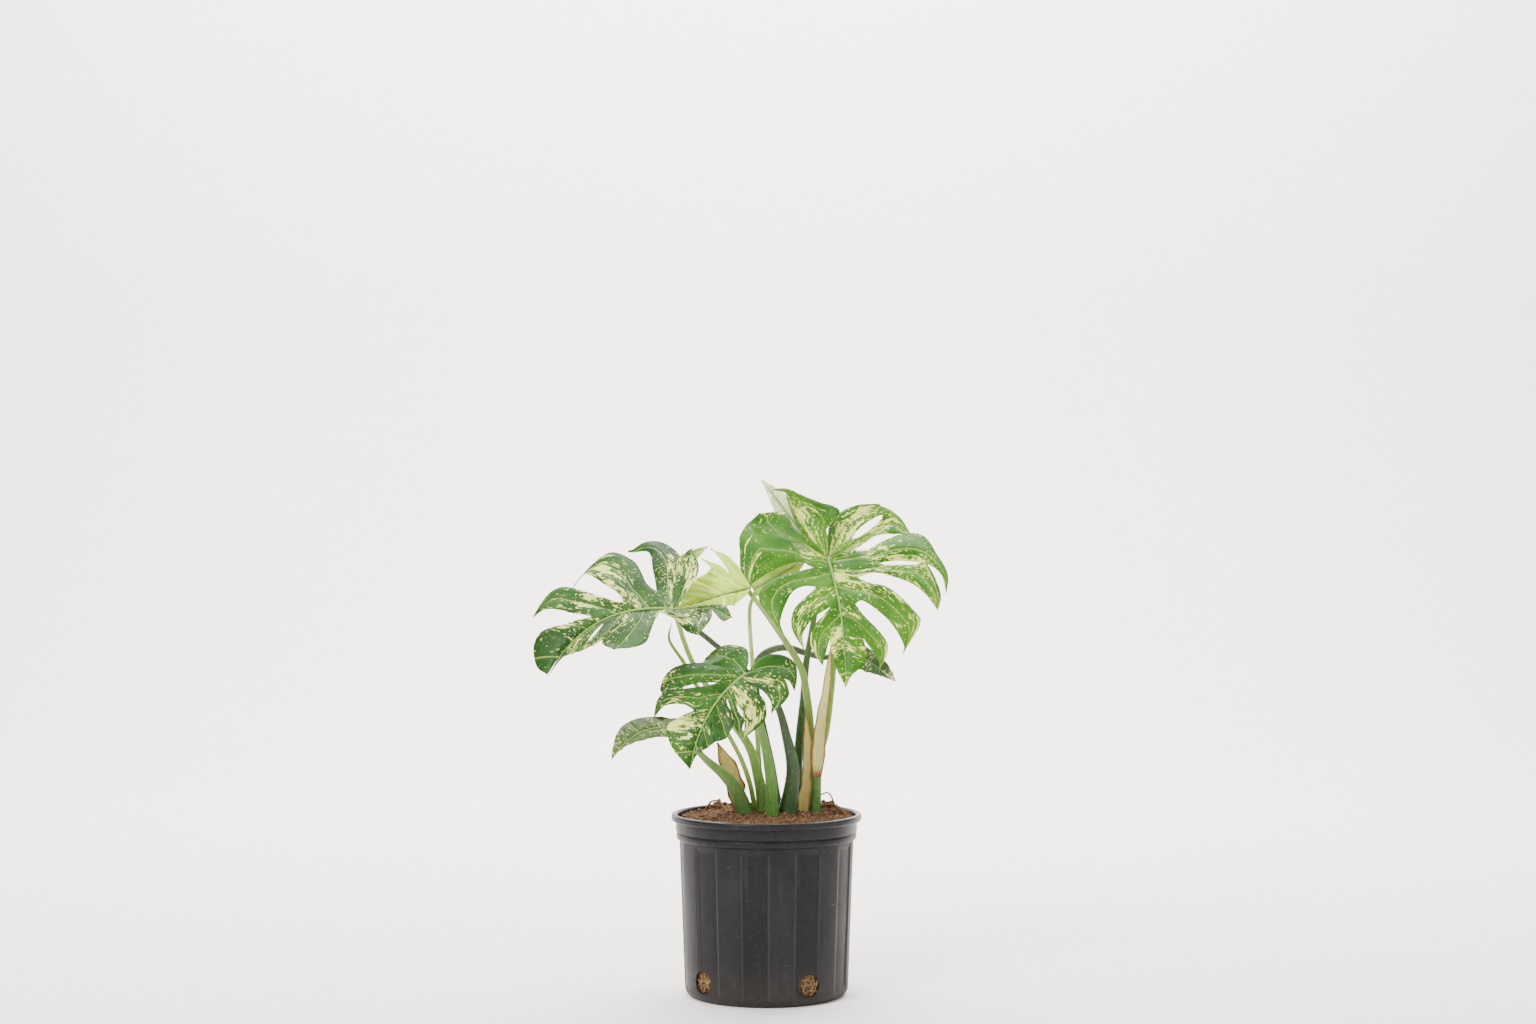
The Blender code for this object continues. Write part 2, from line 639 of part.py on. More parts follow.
BLADES = (
    ("leaf_right", RIGHT, RIGHT_FAR, RIGHT_NEAR, BRIGHT_LEAF),
    ("leaf_left", LEFT, LEFT_FAR, LEFT_NEAR, DARK_LEAF),
    ("leaf_centre", CENTRE, CENTRE_FAR, CENTRE_NEAR, DARK_LEAF),
    ("leaf_lime", LIME, LIME_FAR, LIME_NEAR, LIME_LEAF),
    ("leaf_low_left", LOW_LEFT, plain_half(0.20, 0.22, 0.28, 0.31, 0.22), plain_half(0.20, 0.24, 0.20, 0.14, 0.06),
     OLIVE_LEAF),
    ("leaf_top_back", TOP_BACK, plain_half(0.12, 0.20, 0.20, 0.14, 0.09), plain_half(0.12, 0.20, 0.20, 0.12, 0.06),
     PALE_LEAF),
    ("leaf_back_right", BACK_RIGHT, plain_half(0.18, 0.25, 0.24, 0.19, 0.10), plain_half(0.18, 0.24, 0.22, 0.20, 0.14),
     OLIVE_LEAF),
    ("leaf_young_left", YOUNG_LEFT, plain_half(0.08, 0.12, 0.14, 0.14, 0.12), plain_half(0.08, 0.12, 0.12, 0.08, 0.04),
     LIME_LEAF),
    ("leaf_lime_band", LIME_BAND, plain_half(0.12, 0.18, 0.20, 0.18, 0.12), plain_half(0.10, 0.14, 0.14, 0.12, 0.08),
     LIME_LEAF),
)


# ---------------------------------------------------------------- stalks

def tube(name, points, sides=2, steps=3, extra=0.0, collection=None):
    """A round stem through (x, y, height above the rim, radius)."""
    data = bpy.data.curves.new(name, "CURVE")
    data.dimensions = "3D"
    data.bevel_depth = 1.0
    data.bevel_resolution = sides
    data.resolution_u = steps
    data.use_fill_caps = True
    spline = data.splines.new("BEZIER")
    spline.bezier_points.add(len(points) - 1)
    for knot, (x, y, z, radius) in zip(spline.bezier_points, points):
        knot.co = (x, y, POT_HEIGHT + z)
        knot.radius = radius + extra
        knot.handle_left_type = "AUTO"
        knot.handle_right_type = "AUTO"
    item = bpy.data.objects.new(name, data)
    (collection or bpy.context.scene.collection).objects.link(item)
    return item


def solid_copy(item, name, collection):
    """The stem as a closed mesh, for a Boolean."""
    bpy.context.view_layer.update()
    graph = bpy.context.evaluated_depsgraph_get()
    mesh = bpy.data.meshes.new_from_object(item.evaluated_get(graph))
    copy = bpy.data.objects.new(name, mesh)
    copy.matrix_world = item.matrix_world
    collection.objects.link(copy)
    bm = bmesh.new()
    bm.from_mesh(mesh)
    bmesh.ops.remove_doubles(bm, verts=bm.verts, dist=1e-6)
    bmesh.ops.recalc_face_normals(bm, faces=bm.faces)
    bm.to_mesh(mesh)
    bm.free()
    data = item.data
    bpy.data.objects.remove(item, do_unlink=True)
    bpy.data.curves.remove(data)
    return copy


def stalk_points(points, blade, radius, knee):
    """The stem's points, then a bent knee that ends square to the underside of its blade."""
    rim = Vector((0, 0, POT_HEIGHT))
    found = [(*points[0][:2], -STALK_DEPTH, points[0][3])] + list(points)
    lean = 4 * abs(blade.arch)  # the blade's slope here, so one side of the stem's end is this much of a radius nearer
    for distance in (knee, BLADE_THICKNESS / 2 + GAP + lean * radius):
        spot = blade.underside(distance) - rim
        found.append((spot.x, spot.y, spot.z, radius))
    return found


STALKS = (
    ("stalk_left", LEFT, 0.0036, 0.016, DARK_STALK,
     ((0.028, -0.022, 0.004, 0.0105), (0.035, -0.028, 0.059, 0.0088), (0.026, -0.036, 0.107, 0.0062),
      (0.015, -0.038, 0.145, 0.0047), (-0.003, -0.036, 0.172, 0.0041), (-0.028, -0.033, 0.192, 0.0038),
      (-0.049, -0.030, 0.210, 0.0037), (-0.069, -0.031, 0.227, 0.0037), (-0.090, -0.036, 0.244, 0.0036))),
    ("stalk_centre", CENTRE, 0.0032, 0.012, GREEN_STALK,
     ((0.008, -0.040, 0.005, 0.0080), (0.006, -0.046, 0.048, 0.0076), (-0.002, -0.054, 0.096, 0.0058),
      (-0.012, -0.062, 0.136, 0.0044), (-0.021, -0.066, 0.164, 0.0036))),
    ("stalk_right", RIGHT, 0.0040, 0.016, GREEN_STALK,
     ((0.0645, 0.008, 0.004, 0.0074), (0.068, 0.010, 0.069, 0.0072), (0.078, 0.015, 0.106, 0.0062),
      (0.084, 0.020, 0.143, 0.0054), (0.089, 0.024, 0.190, 0.0048), (0.091, 0.026, 0.230, 0.0045),
      (0.091, 0.022, 0.284, 0.0044))),
    ("stalk_lime", LIME, 0.0030, 0.010, GREEN_STALK,
     ((0.0495, 0.014, 0.004, 0.0050), (0.054, 0.016, 0.053, 0.0050), (0.059, 0.014, 0.108, 0.0050),
      (0.053, 0.016, 0.163, 0.0050), (0.046, 0.018, 0.193, 0.0048), (0.029, 0.022, 0.222, 0.0044),
      (0.014, 0.028, 0.244, 0.0040), (-0.004, 0.038, 0.269, 0.0036))),
    ("stalk_lime_band", LIME_BAND, 0.0026, 0.010, PALE_STALK,
     ((-0.007, 0.010, 0.005, 0.0040), (-0.011, 0.020, 0.080, 0.0034), (-0.018, 0.032, 0.184, 0.0031),
      (-0.022, 0.050, 0.235, 0.0029), (-0.0225, 0.066, 0.272, 0.0027))),
    ("stalk_top_back", TOP_BACK, 0.0034, 0.012, GREEN_STALK,
     ((0.040, 0.029, 0.004, 0.0068), (0.044, 0.034, 0.088, 0.0060), (0.050, 0.040, 0.151, 0.0050),
      (0.054, 0.044, 0.199, 0.0046), (0.063, 0.048, 0.250, 0.0042), (0.070, 0.054, 0.305, 0.0038))),
    ("stalk_back_right", BACK_RIGHT, 0.0036, 0.012, DARK_STALK,
     ((0.014, 0.014, 0.004, 0.0062), (0.006, 0.024, 0.060, 0.0060), (-0.005, 0.036, 0.110, 0.0056),
      (-0.013, 0.050, 0.150, 0.0052), (-0.016, 0.062, 0.188, 0.0048), (-0.003, 0.068, 0.209, 0.0048),
      (0.025, 0.072, 0.217, 0.0048), (0.055, 0.074, 0.209, 0.0044), (0.080, 0.078, 0.203, 0.0038))),
    ("stalk_young_left", YOUNG_LEFT, 0.0032, 0.010, PALE_STALK,
     ((-0.004, -0.010, 0.005, 0.0076), (-0.010, -0.008, 0.044, 0.0070), (-0.024, 0.000, 0.090, 0.0058),
      (-0.057, 0.012, 0.133, 0.0046), (-0.081, 0.020, 0.169, 0.0040), (-0.099, 0.036, 0.197, 0.0037),
      (-0.113, 0.056, 0.229, 0.0035))),
    ("stalk_low_left", LOW_LEFT, 0.0030, 0.010, GREEN_STALK,
     ((-0.029, -0.024, 0.004, 0.0105), (-0.040, -0.025, 0.033, 0.0092), (-0.056, -0.026, 0.053, 0.0072),
      (-0.080, -0.022, 0.073, 0.0048), (-0.100, -0.014, 0.093, 0.0036))),
)


def build_stalks(soil, cutters):
    for name, blade, radius, knee, look, points in STALKS:
        whole = stalk_points(points, blade, radius, knee)
        finish(tube(name, whole), look)
        x, y, z, r = whole[0]
        socket = tube("socket", [(x, y, z - 2 * GAP, r), *whole[1:3]], sides=2, extra=2 * GAP)
        subtract(soil, solid_copy(socket, "socket_" + name, cutters))


# ---------------------------------------------------------------- sheaths

def strip(name, spine, thickness, collection=None):
    """A thin sheath: a ribbon through (x, y, height above the rim, half width, cup depth)."""
    bm = bmesh.new()
    rows = []
    for x, y, z, half, cup in spine:
        centre = Vector((x, y, POT_HEIGHT + z))
        row = []
        for share in (-1, -0.4, 0.4, 1):
            row.append(bm.verts.new(centre + Vector((half * share, cup * (1 - share**2), 0))))
        rows.append(row)
    for low, high in zip(rows, rows[1:]):
        for c in range(3):
            bm.faces.new((low[c], low[c + 1], high[c + 1], high[c]))
    item = mesh_object(name, bm, collection)
    skin = item.modifiers.new("thickness", "SOLIDIFY")
    skin.thickness = thickness
    skin.offset = 0.0
    return item


SHEATHS = (
    ("sheath_right", CREAM_SHEATH, (
        (0.0675, -0.001, 0.048, 0.0055, 0.0010), (0.0690, 0.000, 0.070, 0.0085, 0.0015),
        (0.0700, 0.001, 0.091, 0.0090, 0.0020), (0.0750, 0.004, 0.135, 0.0070, 0.0020),
        (0.0800, 0.009, 0.164, 0.0050, 0.0015), (0.0840, 0.012, 0.200, 0.0045, 0.0010),
        (0.0875, 0.013, 0.228, 0.0032, 0.0005))),
    ("sheath_old", TAN_SHEATH, (
        (0.0470, -0.006, -0.010, 0.0080, 0.0020), (0.0490, -0.006, 0.010, 0.0090, 0.0020),
        (0.0540, -0.006, 0.055, 0.0060, 0.0020), (0.0540, -0.005, 0.110, 0.0050, 0.0015),
        (0.0510, -0.003, 0.141, 0.0015, 0.0005))),
    ("sheath_young", PALE_STALK, (
        (-0.0170, 0.001, -0.010, 0.0032, 0.0010), (-0.0180, 0.000, 0.020, 0.0032, 0.0010),
        (-0.0290, -0.001, 0.060, 0.0032, 0.0010), (-0.0470, 0.004, 0.097, 0.0030, 0.0010),
        (-0.0740, 0.013, 0.139, 0.0028, 0.0010), (-0.0950, 0.021, 0.170, 0.0028, 0.0010),
        (-0.1120, 0.028, 0.200, 0.0036, 0.0010), (-0.1310, 0.033, 0.229, 0.0045, 0.0010),
        (-0.1280, 0.034, 0.252, 0.0024, 0.0005))),
    ("sheath_low_left", TAN_SHEATH, (
        (-0.0360, -0.004, -0.010, 0.0070, 0.0030), (-0.0380, -0.004, 0.015, 0.0095, 0.0040),
        (-0.0450, -0.003, 0.045, 0.0130, 0.0050), (-0.0560, -0.002, 0.075, 0.0110, 0.0040),
        (-0.0660, -0.002, 0.094, 0.0060, 0.0020))),
)
SHEATH_THICKNESS = 0.0012


def build_sheaths(soil, cutters):
    for name, look, spine in SHEATHS:
        finish(strip(name, spine, SHEATH_THICKNESS), look)
        x, y, z, half, cup = spine[0]
        if z > 0:
            continue
        x2, y2, z2, half2, cup2 = spine[1]
        hole = (
            (x, y, z - GAP, half + GAP, cup),
            (x2, y2, z2, half2 + GAP, cup2),
        )
        subtract(soil, strip("socket_" + name, hole, SHEATH_THICKNESS + 2 * GAP, cutters))


def main():
    clear_scene()
    cutters = helper_collection()
    build_pot(cutters)
    soil = build_soil()
    for name, blade, left, right, look in BLADES:
        build_blade(name, blade, left, right, look)
    build_stalks(soil, cutters)
    build_sheaths(soil, cutters)


main()
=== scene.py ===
"""The looks of a potted variegated monstera: blades, stalks, sheaths, potting mix and nursery pot.

Metres, +Z up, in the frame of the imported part. Heights named above the rim are counted from the pot's rim.
"""

import math
import random

import bmesh
import bpy
from mathutils import Matrix, Vector, noise


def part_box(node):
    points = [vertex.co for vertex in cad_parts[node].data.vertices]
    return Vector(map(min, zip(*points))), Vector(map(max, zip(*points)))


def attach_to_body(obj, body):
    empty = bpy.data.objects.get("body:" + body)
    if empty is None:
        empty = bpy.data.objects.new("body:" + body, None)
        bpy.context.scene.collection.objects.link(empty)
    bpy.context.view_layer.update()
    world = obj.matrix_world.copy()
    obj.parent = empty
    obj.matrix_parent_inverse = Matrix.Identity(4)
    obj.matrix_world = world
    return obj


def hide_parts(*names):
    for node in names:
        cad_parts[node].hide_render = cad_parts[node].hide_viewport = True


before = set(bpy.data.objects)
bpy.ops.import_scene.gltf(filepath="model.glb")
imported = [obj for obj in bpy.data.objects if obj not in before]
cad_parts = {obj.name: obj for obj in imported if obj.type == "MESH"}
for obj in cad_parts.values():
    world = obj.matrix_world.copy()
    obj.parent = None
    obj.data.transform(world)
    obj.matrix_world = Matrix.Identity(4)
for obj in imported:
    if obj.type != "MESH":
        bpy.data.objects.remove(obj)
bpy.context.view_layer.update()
POT_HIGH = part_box("nursery_pot")[1]
RIM_HEIGHT = POT_HIGH.z
RIM_RADIUS = POT_HIGH.x

# ---------------------------------------------------------------- node materials


class Recipe:
    """A node material around one Principled shader. Each method adds a node and returns its output."""

    def __init__(self, name):
        self.material = bpy.data.materials.new(name)
        self.material.use_nodes = True
        self.tree = self.material.node_tree
        self.shader = self.tree.nodes["Principled BSDF"]

    def put(self, kind, inputs, output=0, **settings):
        made = self.tree.nodes.new(kind)
        for key, value in settings.items():
            setattr(made, key, value)
        for key, value in inputs.items():
            self.feed(made.inputs[key], value)
        return made.outputs[output]

    def feed(self, socket, value):
        if isinstance(value, bpy.types.NodeSocket):
            self.tree.links.new(value, socket)
        elif socket.type == "RGBA":
            socket.default_value = (*value[:3], 1.0)
        else:
            socket.default_value = value

    def calc(self, operation, a, b=0.0, clamp=False):
        return self.put("ShaderNodeMath", {0: a, 1: b}, operation=operation, use_clamp=clamp)

    def fade(self, value, low, high, to_low=0.0, to_high=1.0):
        inputs = {"Value": value, "From Min": low, "From Max": high, "To Min": to_low, "To Max": to_high}
        return self.put("ShaderNodeMapRange", inputs, interpolation_type="SMOOTHSTEP")

    def blend(self, factor, a, b):
        return self.put("ShaderNodeMix", {0: factor, 6: a, 7: b}, output=2, data_type="RGBA")

    def stain(self, colour, source, low, high, most, tone):
        """A tone over the colour: none where the source is below low, this much above high."""
        return self.blend(self.fade(source, low, high, 0.0, most), colour, tone)

    def part_of(self, share, mask, colour, tone):
        return self.blend(self.calc("MULTIPLY", mask, share), colour, tone)

    def place(self):
        return self.put("ShaderNodeTexCoord", {}, output="Object")

    def leaf_map(self):
        return self.put("ShaderNodeUVMap", {}, uv_map="leaf")

    def parts(self, vector):
        made = self.tree.nodes.new("ShaderNodeSeparateXYZ")
        self.feed(made.inputs[0], vector)
        return made.outputs[0], made.outputs[1], made.outputs[2]

    def stretch(self, vector, scale, shift=(0, 0, 0)):
        return self.put("ShaderNodeMapping", {"Vector": vector, "Scale": scale, "Location": shift})

    def cloud(self, vector, scale, detail=2.0, rough=0.5, twist=0.0):
        inputs = {"Vector": vector, "Scale": scale, "Detail": detail, "Roughness": rough, "Distortion": twist}
        return self.put("ShaderNodeTexNoise", inputs)

    def cells(self, vector, scale, feature="F1", output="Distance"):
        inputs = {"Vector": vector, "Scale": scale}
        return self.put("ShaderNodeTexVoronoi", inputs, output=output, feature=feature)

    def number(self, name):
        return self.put("ShaderNodeAttribute", {}, output="Fac", attribute_name=name)

    def bump(self, height, depth, below=None):
        inputs = {"Height": height, "Distance": depth, "Strength": 1.0}
        if below is not None:
            inputs["Normal"] = below
        return self.put("ShaderNodeBump", inputs)

    def finish(self, colour, roughness, normal=None, **plain):
        self.feed(self.shader.inputs["Base Color"], colour)
        self.feed(self.shader.inputs["Roughness"], roughness)
        if normal is not None:
            self.feed(self.shader.inputs["Normal"], normal)
        for key, value in plain.items():
            self.feed(self.shader.inputs[key.replace("_", " ")], value)
        return self.material


def mixed(a, b, share):
    """The colour this share of the way from a to b."""
    return tuple((1 - share) * x + share * y for x, y in zip(a, b))


def blade_marks(r, cream, seed):
    """Masks on a blade: cream patches, the paler tone round them, lateral veins, midrib and fine veins."""
    s, q, _ = r.parts(r.leaf_map())

    def leaf_cloud(across, along, shift, *settings):
        spot = {0: r.calc("MULTIPLY", s, across), 1: r.calc("MULTIPLY", q, along), 2: seed + shift}
        return r.cloud(r.put("ShaderNodeCombineXYZ", spot), 1.0, *settings)

    streaks = leaf_cloud(46.0, 5.5, 0.0, 4.0, 0.62, 0.25)
    regions = leaf_cloud(9.0, 0.9, 9.0, 1.0, 0.5)
    lean = r.calc("MULTIPLY", r.calc("SUBTRACT", regions, 0.5), 0.75)
    amount = r.calc("ADD", r.calc("ADD", streaks, lean), cream)
    flecks = leaf_cloud(170.0, 11.0, 4.0, 2.0, 0.55, 0.2)
    flecks = r.calc("ADD", r.calc("ADD", flecks, r.calc("MULTIPLY", lean, 0.6)), cream)
    patch = r.calc("MAXIMUM", r.fade(amount, 0.645, 0.657), r.fade(flecks, 0.672, 0.684))
    fringe = r.calc("MAXIMUM", r.fade(amount, 0.575, 0.65), r.fade(flecks, 0.62, 0.68, 0.0, 0.7))
    dots = r.cloud(r.place(), 330.0, 2.0, 0.6)
    sown = r.cloud(r.place(), 26.0, 1.0, 0.5)
    speckle = r.fade(r.calc("ADD", dots, r.calc("MULTIPLY", r.calc("ADD", sown, cream), 0.42)), 0.88, 0.92)
    patch = r.calc("MAXIMUM", patch, r.calc("MULTIPLY", speckle, 0.75))
    offset = r.calc("ABSOLUTE", r.calc("SUBTRACT", r.calc("FRACT", q), 0.5))
    side = r.calc("MULTIPLY", offset, r.calc("MULTIPLY", r.number("half_width"), 2.0))
    vein = r.fade(side, 0.0003, 0.0011, 1.0, 0.0)
    rib = r.fade(r.number("rib"), 0.0006, 0.0019, 1.0, 0.0)
    oblique = r.calc("ADD", r.calc("MULTIPLY", s, 1700.0), r.calc("MULTIPLY", side, 2100.0))
    fine = r.calc("SINE", r.calc("ADD", oblique, r.calc("MULTIPLY", streaks, 5.0)))
    return patch, fringe, vein, rib, fine, side


def blade_face(name, dark, light, cream, seed, pale, roughness):
    r = Recipe(name)
    patch, fringe, vein, rib, fine, side = blade_marks(r, cream, seed)
    tone = r.cloud(r.place(), 21.0, 3.0, 0.55)
    glow = r.fade(side, 0.0, 0.007, 0.35, 0.0)
    green = r.blend(r.calc("ADD", r.fade(tone, 0.36, 0.66), glow, True), dark, light)
    colour = r.part_of(0.45, fringe, green, tuple(0.72 * a + 0.28 * b for a, b in zip(light, pale)))
    bright = tuple(min(1.0, 1.18 * v) for v in pale)
    colour = r.blend(patch, colour, r.blend(r.cloud(r.place(), 95.0, 3.0), pale, bright))
    colour = r.part_of(0.55, vein, colour, mixed(light, pale, 0.5))
    colour = r.part_of(0.85, rib, colour, mixed(light, pale, 0.7))
    colour = r.stain(colour, r.cloud(r.place(), 140.0, 4.0, 0.7), 0.55, 0.8, 0.05, (0.42, 0.42, 0.36))
    pores = r.cloud(r.place(), 2100.0, 1.0)
    sheen = r.fade(tone, 0.3, 0.7, roughness - 0.05, roughness + 0.07)
    rough = r.calc("ADD", sheen, r.calc("MULTIPLY", pores, 0.08))
    normal = r.bump(r.fade(side, 0.0, 0.0035), 0.0006)
    normal = r.bump(fine, 0.000035, normal)
    normal = r.bump(pores, 0.00005, normal)
    return r.finish(colour, rough, normal, Specular_IOR_Level=0.16)


def blade_back(name, dark, light, cream, seed):
    """The underside: duller and paler, with the patches showing faintly and the veins standing out."""
    r = Recipe(name)
    patch, _, vein, rib, fine, _ = blade_marks(r, cream, seed)
    tone = r.cloud(r.place(), 30.0, 3.0, 0.6)
    colour = r.blend(r.fade(tone, 0.35, 0.68), dark, light)
    colour = r.part_of(0.60, patch, colour, (0.44, 0.50, 0.19))
    raised = r.calc("MAXIMUM", vein, rib)
    colour = r.part_of(0.6, raised, colour, (0.32, 0.42, 0.14))
    net = r.fade(r.cells(r.place(), 420.0, "DISTANCE_TO_EDGE"), 0.0, 0.08)
    colour = r.blend(r.fade(net, 0.0, 1.0, 0.16, 0.0), colour, (0.05, 0.09, 0.03))
    normal = r.bump(raised, 0.0004)
    normal = r.bump(r.calc("ADD", r.calc("MULTIPLY", fine, 0.3), net), 0.00012, normal)
    return r.finish(colour, r.fade(tone, 0.3, 0.7, 0.50, 0.60), normal, Specular_IOR_Level=0.22)


def rib_skin(name, colour):
    r = Recipe(name)
    lines = r.cloud(r.stretch(r.place(), (900, 900, 90)), 1.0, 2.0)
    tone = r.blend(lines, colour, tuple(0.7 * v for v in colour))
    return r.finish(tone, 0.5, r.bump(lines, 0.00012))


def stalk_skin(name, foot, middle, top, speckle, seed):
    """Skin of a stalk: long fibres, pale flecks, small scars, and colours from the foot to the knee."""
    r = Recipe(name)
    along = r.number("along")
    low = r.blend(r.fade(along, 0.02, 0.42), foot, middle)
    colour = r.blend(r.fade(along, 0.45, 0.95), low, top)
    strands = r.cloud(r.stretch(r.place(), (1500, 1500, 26), (seed, 0, 0)), 1.0, 3.0, 0.6)
    colour = r.stain(colour, strands, 0.42, 0.72, 0.42, tuple(1.5 * v + 0.02 for v in middle))
    shade = r.cloud(r.stretch(r.place(), (300, 300, 12), (0, seed, 0)), 1.0, 2.0)
    colour = r.stain(colour, shade, 0.5, 0.75, 0.35, tuple(0.45 * v for v in foot))
    flecks = r.cloud(r.stretch(r.place(), (900, 900, 260), (0, 0, seed)), 1.0, 1.0)
    colour = r.stain(colour, flecks, 0.66, 0.72, speckle, (0.50, 0.56, 0.22))
    scars = r.cloud(r.stretch(r.place(), (160, 160, 120), (seed, seed, 0)), 1.0, 3.0, 0.7)
    colour = r.stain(colour, scars, 0.70, 0.76, 0.8, (0.30, 0.17, 0.09))
    colour = r.part_of(0.35, r.fade(along, 0.95, 0.985), colour, (0.30, 0.27, 0.14))
    normal = r.bump(strands, 0.00022)
    normal = r.bump(r.cloud(r.place(), 1500.0, 1.0), 0.00006, normal)
    return r.finish(colour, r.fade(strands, 0.3, 0.7, 0.34, 0.50), normal, Specular_IOR_Level=0.30)


def sheath_skin(name, body, streak, rim, seed, tip=(0.20, 0.11, 0.05)):
    """A papery sheath: long fibres, dark dry edges, a brown end and a red-brown scar at its foot."""
    r = Recipe(name)
    fibres = r.cloud(r.stretch(r.place(), (1300, 1300, 17), (seed, 0, 0)), 1.0, 4.0, 0.65)
    colour = r.blend(r.fade(fibres, 0.40, 0.66), body, streak)
    uneven = r.calc("SUBTRACT", fibres, 0.5)
    ragged = r.calc("ADD", r.number("edge"), r.calc("MULTIPLY", uneven, 0.5))
    colour = r.blend(r.fade(ragged, 0.62, 0.98), colour, rim)
    ends = r.calc("ADD", r.number("along"), r.calc("MULTIPLY", uneven, 0.25))
    colour = r.blend(r.fade(ends, 0.84, 0.99), colour, tip)
    colour = r.blend(r.fade(ends, 0.075, 0.015), colour, (0.22, 0.085, 0.045))
    colour = r.stain(colour, r.cloud(r.place(), 210.0, 3.0, 0.7), 0.66, 0.74, 0.55, tip)
    rough = r.fade(fibres, 0.3, 0.7, 0.50, 0.72)
    return r.finish(colour, rough, r.bump(fibres, 0.0005), Specular_IOR_Level=0.3)


def mix_skin(name, dark, mid, light):
    """Coir and bark: crumbs of several browns, with tan fibres and painted shade in the hollows between them.
    """
    r = Recipe(name)
    crumbs = r.calc("MULTIPLY", r.parts(r.cells(r.place(), 260.0, output="Color"))[0], 0.6)
    broad = r.calc("MULTIPLY", r.cloud(r.place(), 38.0, 4.0, 0.6), 0.4)
    colour = r.blend(r.calc("ADD", crumbs, broad), dark, mid)
    grain = r.cloud(r.place(), 780.0, 5.0, 0.7)
    colour = r.stain(colour, grain, 0.52, 0.70, 0.75, light)
    threads = r.cloud(r.stretch(r.place(), (1400, 160, 900)), 1.0, 2.0, 0.5, 2.0)
    colour = r.stain(colour, threads, 0.62, 0.68, 0.35, (0.52, 0.36, 0.20))
    # painted shade: the hollows between crumbs, where the bump is lowest, go near-black
    holes = r.fade(r.cells(r.place(), 330.0), 0.30, 0.75)
    colour = r.part_of(0.45, holes, colour, (0.018, 0.011, 0.007))
    normal = r.bump(r.calc("SUBTRACT", grain, holes), 0.0016)
    return r.finish(colour, r.fade(grain, 0.3, 0.7, 0.82, 0.97), normal, Specular_IOR_Level=0.2)


def wood_skin(name, dark, light):
    r = Recipe(name)
    grain = r.cloud(r.stretch(r.place(), (420, 420, 150)), 1.0, 5.0, 0.7, 0.6)
    colour = r.blend(grain, dark, light)
    return r.finish(colour, 0.85, r.bump(grain, 0.0009), Specular_IOR_Level=0.2)


# ---------------------------------------------------------------- meshes


def make_object(name, bm, materials):
    mesh = bpy.data.meshes.new(name)
    bm.to_mesh(mesh)
    bm.free()
    for material in materials:
        mesh.materials.append(material)
    for face in mesh.polygons:
        face.use_smooth = True
    item = bpy.data.objects.new(name, mesh)
    bpy.context.scene.collection.objects.link(item)
    return item


def round_axis(radius, angle, height):
    """A point round the pot's axis. Angle 0 faces the front, and a quarter turn is to the right."""
    return (radius * math.sin(angle), -radius * math.cos(angle), height)


def join_rings(bm, rings):
    """Faces from each ring to the next, and one over each end."""
    for below, above in zip(rings, rings[1:]):
        for i in range(len(below)):
            j = (i + 1) % len(below)
            bm.faces.new((below[i], below[j], above[j], above[i]))
    bm.faces.new(list(reversed(rings[0])))
    bm.faces.new(rings[-1])


def join_rows(bm, rows):
    """Faces of an open sheet."""
    for low, high in zip(rows, rows[1:]):
        for c in range(len(low) - 1):
            bm.faces.new((low[c], low[c + 1], high[c + 1], high[c]))


def thicken(item, thickness, back_material=0):
    skin = item.modifiers.new("thickness", "SOLIDIFY")
    skin.thickness = thickness
    skin.offset = 0.0
    skin.material_offset = back_material
    skin.material_offset_rim = back_material
    return item


def declare(item, slot_name, *nodes):
    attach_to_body(item, "root")
    if nodes:
        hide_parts(*nodes)
    return item


def smooth_path(knots, step):
    """Points at about this spacing along a smooth curve through the knots, which may hold extra numbers."""
    found = []
    for i in range(len(knots) - 1):
        p1 = knots[i]
        p2 = knots[i + 1]
        p0 = knots[i - 1] if i else [2 * a - b for a, b in zip(p1, p2)]
        p3 = knots[i + 2] if i + 2 < len(knots) else [2 * b - a for a, b in zip(p1, p2)]
        count = max(2, round(math.dist(p1[:3], p2[:3]) / step))
        for k in range(count):
            t = k / count
            point = []
            for a, b, c, d in zip(p0, p1, p2, p3):
                bend = (c - a) * t + (2 * a - 5 * b + 4 * c - d) * t**2 + (3 * b - a - 3 * c + d) * t**3
                point.append(b + 0.5 * bend)
            found.append(point)
    found.append(list(knots[-1]))
    return found


def add_tube(bm, path, sides, shape=None, along=None):
    """A closed tube along (x, y, z, radius). shape(share, angle) scales the radius at a place on it."""
    centres = [Vector(p[:3]) for p in path]
    side = Vector((1, 0, 0))
    rings = []
    for i, centre in enumerate(centres):
        ahead = (centres[min(i + 1, len(centres) - 1)] - centres[max(i - 1, 0)]).normalized()
        side = (side - ahead * side.dot(ahead)).normalized()
        up = ahead.cross(side)
        share = i / (len(centres) - 1)
        ring = []
        for j in range(sides):
            angle = 2 * math.pi * j / sides
            radius = path[i][3] * (shape(share, angle) if shape else 1.0)
            vert = bm.verts.new(centre + (side * math.cos(angle) + up * math.sin(angle)) * radius)
            if along:
                vert[along] = share
            ring.append(vert)
        rings.append(ring)
    join_rings(bm, rings)


# ---------------------------------------------------------------- blades

ROWS = 26
COLUMNS = 8
RIB_STEP = 0.030
BLADE_THICKNESS = 0.0007
VEIN_SINK = 0.010


def cut(station, sinus, slit=None):
    """The line between two lobes. It leaves the midrib at station and joins them out to sinus.

    sinus is (across, along), in blade lengths. slit is (start, end, half width, step): a hole along the line,
    its ends as shares of it. The step raises the tipward edge and lowers the other, and may be left out.
    """
    return {"station": station, "sinus": sinus, "slit": slit}


